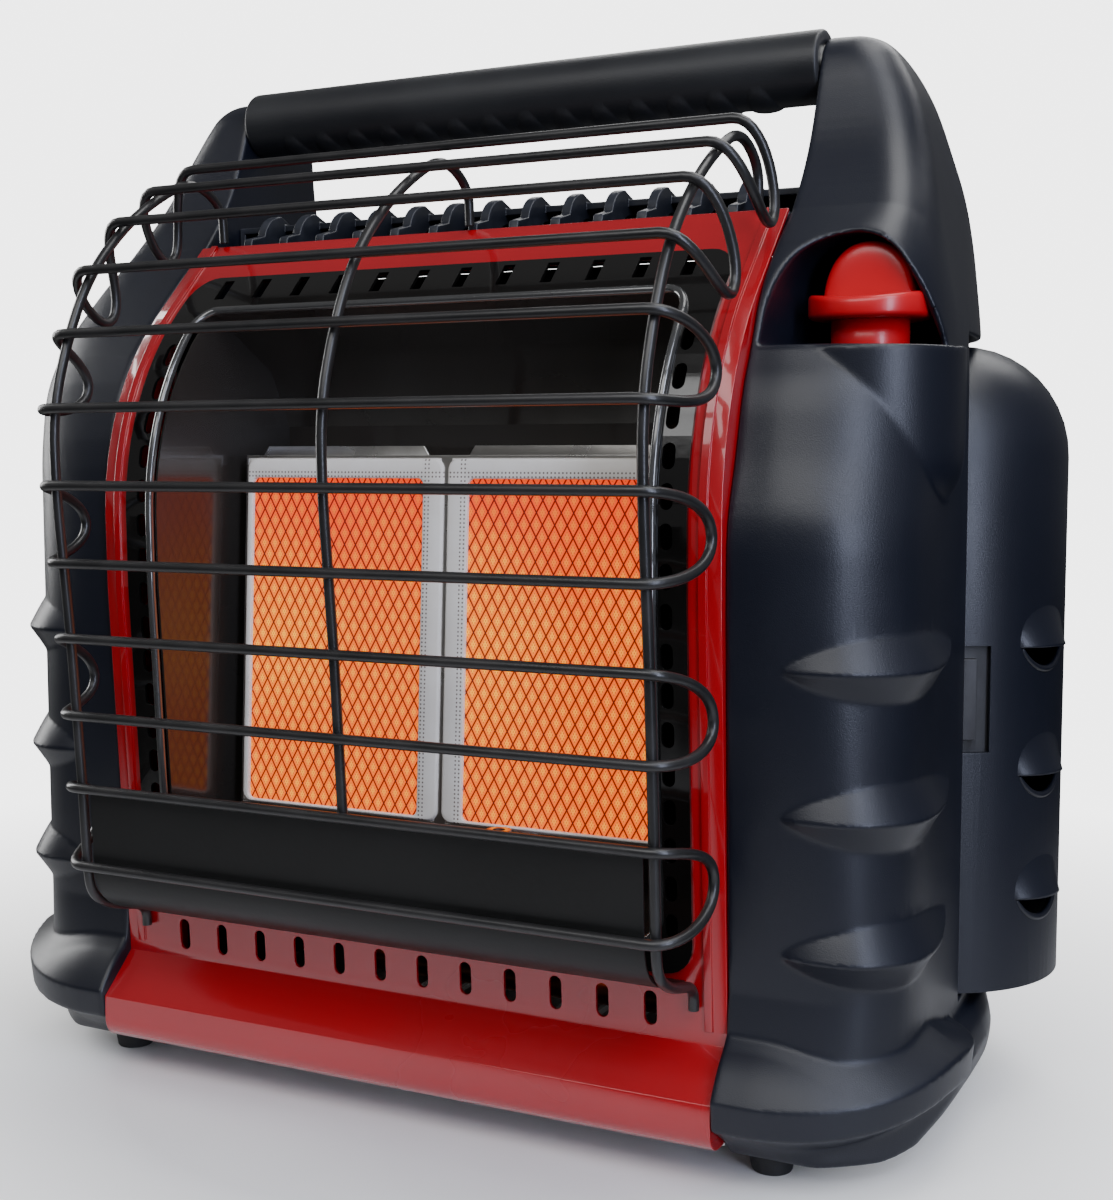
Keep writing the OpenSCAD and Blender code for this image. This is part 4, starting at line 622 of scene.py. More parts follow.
def settle(piece, node, finish=None):
    """The piece rides with the node's body, stands for it, and wears its finish."""
    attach(piece, BODY_OF[node])
    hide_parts(node)
    return finished(piece, node, finish)


def trim(piece, node, finish=None):
    """A separate detail that rides with a node's body beside what already shows."""
    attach(piece, BODY_OF[node])
    return finished(piece, node, finish)


# ---- side covers -----------------------------------------------------------------

SIDE_X, COVER_X, BASE_X, BODY_D = 138.0, 204.0, 216.0, 208.0
COVER_Y = -8.0                       # the cover's front, in front of the panel
COVER_SPACE = ((131, 220), (-23, 213), (3, 437))              # the space its field fills, x, y and z
CORNER_R = 54.0                      # the round front corner, in plan
KNOB = (170.0, 60.0)                 # the knob's upright axis, x and y
KNOB_BORE_R = 15.2
NICHE_R = 27.0                       # from the knob's axis to the alcove's back
SHELF_Z = 302.0
BOSS = (170.0, 54.0)                 # the boss's upright axis, x and y
BOSS_R = [(240, 26), (247, 32), (253, 35.4), (260, 36.5)]     # over the height
BOSS_Z = 240.0
BAY = (120.5, 91.55, 49.0, 309.0)    # inner x, front y, floor z, roof z of a cylinder bay
# The casing's front in side view: it leans, stands, bends round and slopes back, from these heights.
LEAN_Z, STAND_Z, BEND_Z, SLOPE_Z = 54.0, 208.0, 238.0, 322.85
LEAN_Y, STAND_Y, SLOPE_Y, BEND_R = 0.9, -9.0, 26.15, 120.0
LEAN_BY, STAND_BY = 9.5, 0.4         # how far the first two runs come forwards or go back
BEND_END = 0.7071                    # the sine of the slope at the bend's end, 45 degrees


def front_y(z):
    """Depth of the casing's front at a height: a straight lean from the crease, a nearly upright stretch,
    a round bend, then a straight slope back."""
    z = np.asarray(z, float)
    lean = LEAN_Y - LEAN_BY * (z - LEAN_Z) / (STAND_Z - LEAN_Z)
    stand = STAND_Y + STAND_BY * (BEND_Z - z) / (BEND_Z - STAND_Z)
    bend = STAND_Y + BEND_R * (1 - np.cos(np.arcsin(np.clip((z - BEND_Z) / BEND_R, 0, BEND_END))))
    slope = SLOPE_Y + (z - SLOPE_Z)
    return np.where(z < STAND_Z, lean, np.where(z < BEND_Z, stand, np.where(z < SLOPE_Z, bend, slope)))


# Side view, y and z: the foot's front, the front along the casing's, the post and the back.
FOOT_SIDE = [(30, 8), (3, 8), (-2, 15), (-10, 21.5), (-17, 28), (-17.5, 35), (-14, 40.5), (-2, 51)]
FRONT_ZS = (70, 104, 138, 172, 206, 230, 246, 258, 270, 282, 294, 306, 318, 330, 342)
POST_SIDE = [(61.5, 356), (73, 370), (83, 386), (90, 404), (93.5, 418), (98, 428), (108, 432.5),
             (125, 432.5), (139, 427), (147, 416), (149, 388), (155, 368), (169, 348), (190, 328),
             (203, 310), (208, 290), (208, 240)]
COVER_SIDE = FOOT_SIDE + [(float(front_y(z)), z) for z in FRONT_ZS]
COVER_SIDE += list(softened(POST_SIDE, 2)) + [(208, 14), (202, 8)]
# Front view, x and z.
COVER_FRONT = [(60, 20), (198, 20), (204, 20), (204, 30), (204, 298), (202, 315), (195, 343), (188, 370),
               (180, 397), (175, 409), (167, 423), (158, 431), (148, 435), (60, 437)]
# Over the height: how far the round front corner stands back, its radius and its outer face.
CORNER_BACK = [(262, 0), (290, 3.6), (312, 14), (333, 30), (356, 51), (370, 66), (386, 80), (404, 92),
               (418, 98), (428, 104), (432, 113)]
KNOB_CORNER_BACK = [(234, 0), (244, 3), (255, 8), (264, 11.1), (274, 13.6), (285, 16.7), (294, 20.6),
                    (302, 26), (318, 30), (333, 35)] + CORNER_BACK[4:]
CORNER_ROUND = [(312, 54), (333, 50), (356, 42), (370, 36), (386, 30), (404, 24), (418, 20), (432, 14)]
CORNER_OUT = [(300, 204), (315, 202), (343, 195), (370, 188), (397, 180), (409, 175), (423, 167)]
# Plans, x and y, of the cover's back and of the base's; then the base from the front, x and z.
PLAN_REAR = [(60, -200), (204, -200), (204, 82), (203, 98), (201, 111), (198, 125), (192, 141), (183, 157),
             (170, 173), (154, 188), (142, 200), (138, 208), (60, 208)]
BASE_REAR = [(60, -200), (216, -200), (216, 72), (213, 100), (207, 125), (198, 150), (190, 175), (182, 196),
             (172, 208), (60, 208)]
BASE_FRONT = [(60, 8), (190, 8), (200, 13), (206.5, 21), (211, 28), (212, 34), (208, 40), (203, 44), (60, 44)]


def round_corner(x, y, outer, front, radius):
    """Distance to a plan that is straight across at front, round through a quarter turn and straight back
    at outer; the three may change with height."""
    dx, dy = x - (outer - radius), (front + radius) - y
    return np.minimum(np.maximum(dx, dy), 0) + np.hypot(np.maximum(dx, 0), np.maximum(dy, 0)) - radius


def over_height(z, table):
    """A value read at each height from (height, value) pairs: straight runs, averaged over 16 mm."""
    heights, values = zip(*table)
    return np.mean([np.interp(z + shift, heights, values) for shift in range(-8, 9, 2)], 0)


BROW_ZS = (187.5, 135.2, 85.6)
BROW_START = 80.0                    # degrees before the corner's side end
BROW_RUN = 97.0                      # a brow's length round the corner
BROW_UP, BROW_DOWN, BROW_OUT = 13.0, 11.5, 7.4
BROW_RISE = 5.5                      # how much higher a brow's back end lies
BROW_FROM_X = 152.0


def brow_bulge(x, y, z):
    """Three leaf-shaped brows that run round the front corner. Along the corner the leaf opens and closes
    as a sine; across it the bulge falls straight from its ridge to its edges."""
    centre_x, centre_y = COVER_X - CORNER_R, COVER_Y + CORNER_R
    angle = np.degrees(np.arctan2(y - centre_y, x - centre_x))
    along = np.where(y < centre_y, CORNER_R * np.radians(angle + BROW_START),
                     CORNER_R * np.radians(BROW_START) + (y - centre_y))
    share = np.clip(along / BROW_RUN, 0, 1)
    opening = np.sin(np.pi * share ** 0.9) ** 0.75
    total = 0
    for ridge in BROW_ZS:
        rise = ridge + BROW_RISE * np.clip((share - 0.45) / 0.55, 0, 1) ** 1.6
        above = np.clip(1 - (z - rise) / (BROW_UP * opening + 1e-3), 0, 1) ** 0.9
        below = np.clip(1 - (rise - z) / (BROW_DOWN * opening + 1e-3), 0, 1) ** 1.1
        total = total + BROW_OUT * opening ** 1.1 * np.where(z > rise, above, below)
    return np.where(x > BROW_FROM_X, total, 0)


# The alcove from the front: its deep part, and the same arch open to the side for the flared right rim.
ARCH_LEFT = [(139, 296), (139, 302), (141, 316), (143.8, 329), (147.5, 337), (155, 342), (165, 344.3),
             (172, 343.8)]
ARCH_DEEP = ARCH_LEFT + [(179, 340.5), (185, 334.3), (190.6, 322.2), (194.8, 311), (197.4, 302), (197.4, 296)]
ARCH_WIDE = ARCH_LEFT + [(179.5, 341), (187.5, 336.5), (200, 331), (214, 324), (214, 296)]
# Over the height: where the right rim lies on the cover's skin.
RIM_X = [(302, 201), (311, 198.3), (322, 193.8), (335, 186.5), (341, 178.5)]
RIM_Y = [(302, 55.4), (311, 52.5), (322, 49), (335, 45.4), (341, 42)]


def table_at(table, a0, b0, step, a, b):
    """A plane field read between its grid places: the mean of the four round each, weighted by nearness."""
    u = np.clip((a - a0) / step, 0, table.shape[0] - 1.001)
    v = np.clip((b - b0) / step, 0, table.shape[1] - 1.001)
    i, j = u.astype(int), v.astype(int)
    u, v = u - i, v - j
    return ((1 - u) * (1 - v) * table[i, j] + u * (1 - v) * table[i + 1, j] + (1 - u) * v * table[i, j + 1]
            + u * v * table[i + 1, j + 1])


def arch_field(arch, x, z, step=0.75):
    """Distance to a softened arch in front view, worked out on a fine grid and read from that."""
    wide, heights = np.arange(120, 225, step), np.arange(280, 400, step)
    table = outline_field(softened(arch + arch[:1], 2), wide[:, None], heights[None, :])
    return table_at(table, wide[0], heights[0], step, x, z)


def niche_field(x, y, z):
    """The knob's alcove: an arch seen from the front, carried back to a round wall behind the knob,
    with a slanting cheek at its right that meets the cover's skin along the rim."""
    deep, open_side = arch_field(ARCH_DEEP, x, z), arch_field(ARCH_WIDE, x, z)
    rim_x, rim_y = (np.interp(z, *zip(*table)) for table in (RIM_X, RIM_Y))
    cheek = ((x - rim_x) + (y - rim_y)) * 0.707
    front = np.maximum(np.minimum(deep, np.maximum(open_side, cheek)), SHELF_Z - z)
    turn = np.radians(np.linspace(0, 180, 31))
    plan = np.stack([KNOB[0] + NICHE_R * np.cos(turn), KNOB[1] + NICHE_R * np.sin(turn)], 1)
    plan = np.concatenate([plan, [(SIDE_X + 3, 18), (SIDE_X + 3, -60), (240, -60), (240, 17)]])
    return both(front, outline_field(plan, x[:, :, 0], y[:, :, 0])[:, :, None], 1.6)


def boss_field(x, y, z):
    """The boss below the knob's shelf: an upright drum that narrows a little towards its lower end."""
    drum = np.hypot(x - BOSS[0], y - BOSS[1]) - over_height(z, BOSS_R)
    return np.maximum(drum, np.maximum(z - SHELF_Z, BOSS_Z - z))


FLARE_Y, FLARE_R = -18.0, 66.0       # the flare's front and its corner, in plan
# By depth round the corner: the heights of the flare's ridge and of the crease where it meets the cover.
FLARE_RIDGE = [(-20, 34.5), (0, 38.5), (12, 41.5), (22, 44), (30, 46), (44, 47)]
FLARE_CREASE = [(-20, 54), (-5, 50.5), (10, 52), (40, 55), (66, 50)]
FLARE_LINE = 11.0                    # from the ridge down to the line below it
FLARE_OUT, LINE_IN = 13.0, 1.2       # how far the ridge stands out from the crease, and the line in from it
TOE_RUN, TOE_IN = 9.0, 11.5          # how far below the line the flare has drawn in by how much
FIN_IN, FIN_Y, FIN_RUN = 15.0, 48.0, 28.0      # the fin draws in so far, from this depth, over this run
FLARE_LOW_Z, FLARE_HIGH_Z, FLARE_END_Y = 8.0, 62.0, 80.0


def base_flare(x, y, z):
    """The flared base round the front corner: a profile over the height, swept round a plan that stands 12 mm
    out from the cover's. Its ridge and the line below it rise towards the back, and it ends in a fin."""
    outside = round_corner(x, y, BASE_X, FLARE_Y, FLARE_R)
    ridge, crease = (np.interp(y, *zip(*table)) for table in (FLARE_RIDGE, FLARE_CREASE))
    line = ridge - FLARE_LINE
    below = -LINE_IN - np.clip((line - z) / TOE_RUN, 0, 3) * TOE_IN
    face = -LINE_IN + np.clip((z - line) / (ridge - line), 0, 1) * LINE_IN
    above = -np.clip((z - ridge) / (crease - ridge), 0, 3) * FLARE_OUT
    fin = FIN_IN * np.clip((y - FIN_Y) / FIN_RUN, 0, 1) ** 2
    out = np.where(z < line, below, np.where(z < ridge, face, above)) - fin
    limits = np.maximum(np.maximum(FLARE_LOW_Z - z, z - FLARE_HIGH_Z), y - FLARE_END_Y)
    return np.maximum(outside - out, limits) * 0.8


def cover_field(step, knob):
    """One side cover: side view, front view and plan carried through each other with rounded edges, joined
    to its flared base, with brows on the corner, the cylinder bay cut out of the back, and for the knob's
    side the boss and the alcove."""
    xs, ys, zs = (np.arange(low, high, step) for low, high in COVER_SPACE)
    x, y, z = xs[:, None, None], ys[None, :, None], zs[None, None, :]
    side = outline_field(COVER_SIDE, ys[:, None], zs[None, :])[None]
    front = outline_field(softened(COVER_FRONT, 2), xs[:, None], zs[None, :])[:, None]
    back = over_height(z, KNOB_CORNER_BACK if knob else CORNER_BACK)
    corner = round_corner(x, y, over_height(z, CORNER_OUT), COVER_Y + back, over_height(z, CORNER_ROUND))
    rear = outline_field(PLAN_REAR, xs[:, None], ys[None, :])[:, :, None]
    body = both(both(both(side, front, 16), corner, 10), rear, 8) - brow_bulge(x, y, z)
    base = both(outline_field(BASE_FRONT, xs[:, None], zs[None, :])[:, None],
                round_corner(x, y, BASE_X, -10, 90), 1.5)
    base = both(both(base, side, 4), outline_field(BASE_REAR, xs[:, None], ys[None, :])[:, :, None], 8)
    base = either(base, base_flare(x, y, z), 3)
    shape = either(body, base, 0.8)
    if knob:
        shape = either(shape, boss_field(x, y, z), 0.5)
        shape = both(shape, -niche_field(x, y, z), 2.0)
        bore = np.hypot(x - KNOB[0], y - KNOB[1]) - KNOB_BORE_R
        shape = np.maximum(shape, -np.maximum(np.maximum(bore, BOSS_Z - 2 - z), z - SHELF_Z - 2))
    _, bay_y, floor, roof = BAY
    shape = np.maximum(shape, -np.maximum(np.maximum(bay_y - y, floor - z), z - roof))
    # The casing's side of the cover is flat.
    return both(shape, SIDE_X - x, 2.0), (xs[0], ys[0], zs[0])


def mirrored_copy(piece, name):
    """The piece seen in a mirror at x = 0, with its faces turned back outwards."""
    mesh = piece.data.copy()
    points = np.zeros(len(mesh.vertices) * 3, np.float32)
    mesh.vertices.foreach_get("co", points)
    points = points.reshape(-1, 3) * [-1, 1, 1]
    mesh.vertices.foreach_set("co", points.astype(np.float32).ravel())
    mesh.flip_normals()
    mesh.update()
    return shown(name, mesh)


COVER_STEP = 1.1
LIGHTENED = 0.4                      # the share of triangles that stays


def cover_piece(name, knob):
    """A side cover's skin from its field, with fewer triangles where it is flat, by an edge collapse.
    The left one is the mirror image of a cover without the knob's places."""
    field, low = cover_field(COVER_STEP, knob)
    cover = level_piece(name if knob else name + "_half", field, low, COVER_STEP)
    if not knob:
        half = cover
        cover = mirrored_copy(half, name)
        bpy.data.objects.remove(half)
    cover.modifiers.new("lighten", "DECIMATE").ratio = LIGHTENED
    return cover


settle(cover_piece("side_cover_right_skin", True), "side_cover_right")
settle(cover_piece("side_cover_left_skin", False), "side_cover_left")


LINING_T = 3.0
HINGE_POST = (143.3, 197.0)          # the hinge post's outer x and front y


def block_piece(name, low_corner, high_corner, side=1):
    """A box between two corners, on either side of x = 0."""
    a, b = np.asarray(low_corner, float), np.asarray(high_corner, float)
    corners = a + (b - a) * CELL_CORNERS
    corners[:, 0] *= side
    faces = [(0, 1, 3, 2), (4, 6, 7, 5), (0, 4, 5, 1), (2, 3, 7, 6), (0, 2, 6, 4), (1, 5, 7, 3)]
    return tidy_faces(mesh_piece(name, corners, np.array(faces), smooth=False))


def bay_lining(name, side):
    """The bay's inner wall, which reaches past the cover's flat side into the casing: a bent sheet
    with the hinge post at its rear edge."""
    bay_x, bay_y, floor, roof = BAY
    inner_x, inner_y = bay_x - LINING_T, bay_y - LINING_T
    outline = np.array([(SIDE_X, inner_y), (inner_x, inner_y), (inner_x, BODY_D), (bay_x, BODY_D),
                        (bay_x, bay_y), (SIDE_X, bay_y)])
    ends = []
    for z in (floor - LINING_T, roof + LINING_T):
        ends.append(np.column_stack([side * outline[:, 0], outline[:, 1], np.full(len(outline), z)]))
    wall = grid_piece(name + "_wall", np.stack(ends), wrap_columns=True)
    cap_faces = np.array([(0, 1, 4, 5), (1, 2, 3, 4), (11, 10, 7, 6), (10, 9, 8, 7)])
    caps = mesh_piece(name + "_caps", np.concatenate(ends), cap_faces)
    blocks = [((inner_x, inner_y, floor - LINING_T), (SIDE_X + 1, BODY_D, floor)),
              ((inner_x, inner_y, roof), (SIDE_X + 1, BODY_D, roof + LINING_T)),
              ((inner_x, HINGE_POST[1], floor - 1), (HINGE_POST[0], BODY_D, roof + 1))]
    solids = [block_piece(f"{name}_block{k}", *corners, side) for k, corners in enumerate(blocks)]
    lining = joined(name, [wall, caps, *solids])
    lining.data.polygons.foreach_set("use_smooth", np.zeros(len(lining.data.polygons), bool))
    return lining


for side, node in ((1, "side_cover_right"), (-1, "side_cover_left")):
    trim(bay_lining(node + "_bay", side), node)


# ---- pieces that keep their solid's shape -------------------------------------------

# By node: how far its edges are rounded, mm.
BEVELS = {
    "front_casing": 0.45, "enamel_surround": 0.4, "heat_shield": 0.3, "reflector_box": 0.0,
    "burner_frame": 0.25, "top_grille": 0.6, "rear_panel": 0.35, "base_pan": 0.4,
    "tank_cover_left": 0.5, "tank_cover_right": 0.5, "latch_tab_left": 0.35, "latch_tab_right": 0.35,
    "battery_door": 0.4, "rubber_feet": 0.7}
FINISH_OF = {"heat_shield": "satin_enamel"}
SHARP_ANGLE = math.radians(35)       # an edge that turns more is rounded
FLAT_ANGLE = math.radians(0.6)       # faces that turn less are one


def dressed(node, bevel):
    """A merged copy of a node's mesh with its sharp edges rounded by a bevel of that many mm."""
    piece = shown(node + "_dressed", NODES[node].data.copy())
    work = bmesh.new()
    work.from_mesh(piece.data)
    bmesh.ops.remove_doubles(work, verts=work.verts, dist=MERGE)
    bmesh.ops.dissolve_limit(work, angle_limit=FLAT_ANGLE, verts=work.verts, edges=work.edges)
    work.to_mesh(piece.data)
    work.free()
    piece.data.polygons.foreach_set("use_smooth", np.ones(len(piece.data.polygons), bool))
    piece.data.set_sharp_from_angle(angle=SHARP_ANGLE)
    if bevel:
        modifier = piece.modifiers.new("rounded_edges", "BEVEL")
        modifier.width = bevel / 1000
        modifier.segments = 2
        modifier.limit_method = "ANGLE"
        modifier.angle_limit = SHARP_ANGLE
        modifier.harden_normals = True
    return settle(piece, node, FINISH_OF.get(node))


for node, bevel in BEVELS.items():
    dressed(node, bevel)
for node in NODES:
    if not NODES[node].hide_render:
        wear_finish(NODES[node], SLOT_OF[node])


# ---- guard -------------------------------------------------------------------------

WIRE_R = 2.0
# Side view, y and z: the two level wires of each ring, from the top ring down, and where its ends come to.
ROWS = np.array([(35, 386), (10, 373.5), (-12, 358), (-32.5, 336.5), (-45.7, 310.5), (-55, 281),
                 (-54.8, 251), (-51.6, 220.3), (-48.4, 190.2), (-46, 158.8), (-43.7, 128.8), (-42, 96.5)])
TIPS = np.array([(38, 348), (-1, 320), (-17, 289), (-20, 235), (-17, 171), (-15, 114)])
UPRIGHT_X, RING_X = 126.0, 138.5
BEHIND = 4.2                         # from a level wire's middle to that of an upright behind it
# Side view of an upright: where it starts behind the top grille, and how it bends in below the last ring.
UPRIGHT_REST = np.array([59.1, 357.5])
UPRIGHT_FOOT = np.array([(-36, 84), (-27, 77.5), (-16, 74.2), (-6, 72), (-2.1, 68), (-1.9, 62)])


def guard_ring(a, b, tip):
    """One closed ring: two level wires joined at each end by a curve that swings out past the upright and
    back to its tip. The other end is its mirror image."""
    pull = (a - b) * 0.42
    near = UPRIGHT_X - 2
    upper = bezier((near, *a), (RING_X, *a), (RING_X, *(tip + pull)), (RING_X, *tip), 15)
    lower = bezier((RING_X, *tip), (RING_X, *(tip - pull)), (RING_X, *b), (near, *b), 15)[1:]
    end = np.concatenate([upper, lower])
    level = np.linspace(-1, 1, 26)[1:-1, None]
    fore, back = (np.concatenate([level * near, np.broadcast_to(row, (len(level), 2))], 1) for row in (a, b))
    return np.concatenate([end, back[::-1], end[::-1] * [-1, 1, 1], fore])


def upright_line(with_foot):
    """An upright in side view: from its rest down behind the level wires, and on to its foot or no
    further than the last ring."""
    line = [UPRIGHT_REST, UPRIGHT_REST + [-1, 16]]
    for i in range(12):
        a, b = ROWS[max(i - 1, 0)], ROWS[min(i + 1, 11)]
        run = (b - a) / np.hypot(*(b - a))
        line.append(ROWS[i] + BEHIND * np.array([-run[1], run[0]]))
    return softened(line + list(UPRIGHT_FOOT) if with_foot else line[:-1], 3)


rings = []
for k, (a, b, tip) in enumerate(zip(ROWS[::2], ROWS[1::2], TIPS)):
    flat_axis = np.cross((1, 0, 0), (0, *(a - b)))
    rings.append(bar_piece(f"ring{k}", guard_ring(a, b, tip), WIRE_R, flat_axis, closed=True, sides=14))
settle(joined("guard_rings_wire", rings), "guard_rings")

uprights = []
for s in (-1, 0, 1):
    line = upright_line(with_foot=s != 0)
    path = np.column_stack([np.full(len(line), s * UPRIGHT_X), line])
    uprights.append(bar_piece(f"upright{s}", path, WIRE_R, (1, 0, 0), sides=14))
settle(joined("guard_uprights_wire", uprights), "guard_uprights")


# ---- grip ------------------------------------------------------------------------------

GRIP = (105.0, 417.5)                # the grip's middle line, y and z
GRIP_R, GRIP_BORE_R, GRIP_HALF = 14.5, 7.9, 137.7
PAD_PITCH, PAD_RISE, PADS_HALF = 17.4, 1.5, 122.0
PAD_START, PAD_SLANT = 124.0, 0.10   # where the row begins, and how far a pad slants, in pitches
PAD_LENGTH, PAD_TURN = 0.36, 0.95    # half a pad's length in pitches, and half its turn in radians
END_RUN, END_IN = 1.6, 0.9           # the rounding of the grip's ends


def grip_surface():
    """The grip: a round bar whose underside carries a row of long oval pads for the fingers, each a smooth
    bump in length and turn. Its ends are rounded over, and close round the steel core."""
    x = np.linspace(-GRIP_HALF, GRIP_HALF, 700)[:, None]
    turn = np.linspace(0, 2 * np.pi, 72, endpoint=False)[None, :]
    away = np.abs((turn - np.radians(270) + np.pi) % (2 * np.pi) - np.pi)
    phase = ((x + PAD_SLANT * PAD_PITCH * np.sin(turn) + PAD_START) / PAD_PITCH) % 1 - 0.5
    pad = np.clip(1 - (phase / PAD_LENGTH) ** 2 - (away / PAD_TURN) ** 2, 0, 1) ** 0.6
    to_end = np.clip((GRIP_HALF - np.abs(x)) / END_RUN, 0, 1)
    radius = GRIP_R + np.where(np.abs(x) < PADS_HALF, PAD_RISE * pad, 0)
    radius = radius - END_IN * (1 - np.sqrt(1 - (1 - to_end) ** 2))

    def circles(x, radius):
        """The grip's rings of points at these places along it."""
        return points_from(x, GRIP[0] + radius * np.cos(turn), GRIP[1] + radius * np.sin(turn))

    return np.concatenate([circles(x[:1], GRIP_BORE_R), circles(x, radius), circles(x[-1:], GRIP_BORE_R)])


grip = grid_piece("handle_grip_pads", grip_surface(), wrap_rows=True, wrap_columns=True)
settle(tidy_faces(grip), "handle_grip")


# ---- knob ---------------------------------------------------------------------------------

# Radius and height of the stem's and the flange's profiles.
STEM = [(4.0, 300.3), (14.2, 300.3), (14.5, 300.9), (14.5, 313.2), (4.0, 313.2), (4.0, 300.3)]
FLANGE = [(3.9, 312.6), (19.5, 312.6), (21.6, 312.8), (22.7, 313.5), (23.0, 314.6), (23.0, 319.4),
          (22.7, 320.6), (21.9, 321.3), (20.0, 321.4), (17.0, 320.8), (9.0, 319.8), (3.9, 319.6),
          (3.9, 312.6)]
BLADE_HALF_W, BLADE_HALF_T, BLADE_R = 17.3, 5.6, 22.5
BLADE_Z, BLADE_LOW_Z = 319.2, 312.8  # the middle of the blade's round, and its flat underside


def flange_wave(angle, radius, height):
    """The rise and fall of the flange, twice round the turn: most on its upper face and at its rim."""
    return np.where(height > 316, 1, 0.15) * (radius / 23) ** 1.5 * (1.5 * np.cos(2 * angle) - 0.3)


def power(value, exponent):
    """A power that keeps the value's sign."""
    return np.sign(value) * np.abs(value) ** exponent


def blade_grid():
    """The blade across the knob: an upright half moon, squared off like a cushion, thinner at its top."""
    v = np.linspace(-np.pi / 2, np.pi / 2, 33)[:, None]
    u = np.linspace(0, 2 * np.pi, 96, endpoint=False)[None, :]
    reach = power(np.cos(v), 0.30)
    across = BLADE_HALF_W * reach * power(np.cos(u), 0.9)
    up = BLADE_R * reach * power(np.sin(u), 0.95)
    deep = BLADE_HALF_T * power(np.sin(v), 0.45) * (1 - 0.12 * np.maximum(up, 0) / BLADE_R)
    return points_from(KNOB[0] + across, KNOB[1] + deep, np.maximum(BLADE_Z + up, BLADE_LOW_Z))


knob_parts = [turned("stem", STEM, (*KNOB, 0)), turned("flange", FLANGE, (*KNOB, 0), wave=flange_wave),
              tidy_faces(grid_piece("blade", blade_grid(), wrap_columns=True))]
settle(joined("control_knob_moulding", knob_parts), "control_knob")


# ---- plaques -------------------------------------------------------------------------------

TILT = math.radians(3)
BURNER = (36.0, 187.0)               # the burners' middle, y and z
# The border's loops: outer and inner half width, half height below and above, corner radius, depth.
BORDER_LOOPS = (
    (48.2, 48.2, 74.7, 74.7, 0.4, 3.0),
    (48.2, 50.0, 74.7, 74.7, 0.4, -0.5),
    (48.1, 49.9, 74.6, 74.6, 4.5, -0.6),
    (48.1, 49.9, 74.6, 74.6, 4.5, -1.2),
    (47.5, 49.3, 74.0, 74.0, 4.0, -1.8),
    (46.9, 48.7, 73.8, 73.4, 3.6, -2.0),
    (45.6, 41.0, 73.4, 67.0, 3.0, -2.0),
    (45.1, 40.5, 73.2, 66.5, 2.8, -1.7),
    (45.0, 40.4, 73.1, 66.4, 2.6, -0.2))


def on_burner(points):
    """Points given square to the plaques, leaned back by 3 degrees about the burners' middle."""
    p = np.asarray(points, float)
    y, z = p[..., 1], p[..., 2]
    return np.stack([p[..., 0], BURNER[0] + y * math.cos(TILT) + z * math.sin(TILT),
                     BURNER[1] + z * math.cos(TILT) - y * math.sin(TILT)], -1)


def rounded_loop(half_w, half_h, radius, per_corner=8):
    """A rectangle with round corners as a closed loop of points, from its right side anticlockwise."""
    turn = np.radians(np.linspace(0, 90, per_corner))
    arc = radius * np.stack([np.cos(turn), np.sin(turn)], 1)
    quarters = []
    for q, (sx, sy) in enumerate(((1, 1), (-1, 1), (-1, -1), (1, -1))):
        rotation = np.array([[math.cos(q * math.pi / 2), math.sin(q * math.pi / 2)],
                             [-math.sin(q * math.pi / 2), math.cos(q * math.pi / 2)]])
        quarters.append(arc @ rotation + [sx * (half_w - radius), sy * (half_h - radius)])
    return np.concatenate(quarters)


def plaque_border(name, side):
    """The pale border pressed round a plaque: loops of the same rounded rectangle, from its outer edge over
    a rounded lip, across its flat, and down to the glowing face."""
    loops = []
    for outer, inner, low, high, radius, y in BORDER_LOOPS:
        loop = rounded_loop((outer + inner) / 2, (low + high) / 2, radius)
        loops.append(np.column_stack([side * (PLAQUE_X + (outer - inner) / 2) + loop[:, 0],
                                      np.full(len(loop), y), loop[:, 1] + (high - low) / 2]))
    return grid_piece(name, on_burner(np.stack(loops)), wrap_columns=True, flip=True)


for side, node in ((-1, "plaque_left"), (1, "plaque_right")):
    trim(plaque_border(node + "_border", side), node, "plaque_border")


# ---- rolled lip of the opening, vents of the cylinder covers --------------------------------------

MOUTH = (112.4, 119.7, 9.5)          # the opening's half width, half height and corner radius
MOUTH_Z = 204.5
LIP_R, LIP_OUT = 1.7, 2.4            # the lip's radius, and how far its middle stands before the casing


def mouth_lip():
    """The rolled lip's path: the opening's rounded rectangle carried onto the casing's curved front, with
    points 5 to 10 mm apart along its straight runs."""
    loop = rounded_loop(*MOUTH, 12)
    runs = []
    for p, q in zip(loop, np.roll(loop, -1, 0)):
        count = max(1, int(np.hypot(*(q - p)) // 5))
        runs.append(p + (q - p) * np.linspace(0, 1, count, endpoint=False)[:, None])
    x, up = np.concatenate(runs).T
    return np.column_stack([x, front_y(up + MOUTH_Z) - LIP_OUT, up + MOUTH_Z])


# The lip wears a lighter grey metallic finish than the black enamel it really is, a painted highlight along
# the opening's edge.
lip = bar_piece("surround_lip", mouth_lip(), LIP_R, (0, -1, 0), closed=True, sides=14)
trim(lip, "enamel_surround", "lip_painted_highlight")

DRUM, DRUM_R = (172.5, 145.0), 55.5  # a cylinder cover's drum: its upright axis and its outer radius
VENT_ANGLE = np.radians(-19)         # how far the vents lie round from the side towards the front
VENT_ZS = (86, 136, 187)             # the straight upper edges of the half-moon vents
MOON_R, MOON_CUT = 17.0, 8.0         # a vent's circle, and how far above the edge its middle lies
# A vent's brow: the radius of its foot, how far it stands out, its height and half its width.
HOOD_R, HOOD_OUT, HOOD_UP, HOOD_HALF = 55.35, 5.2, 17.0, 16.6
RIM_R, RIM_HALF = 55.1, 14.9         # the rim below a vent: the radius of its middle line, half its width


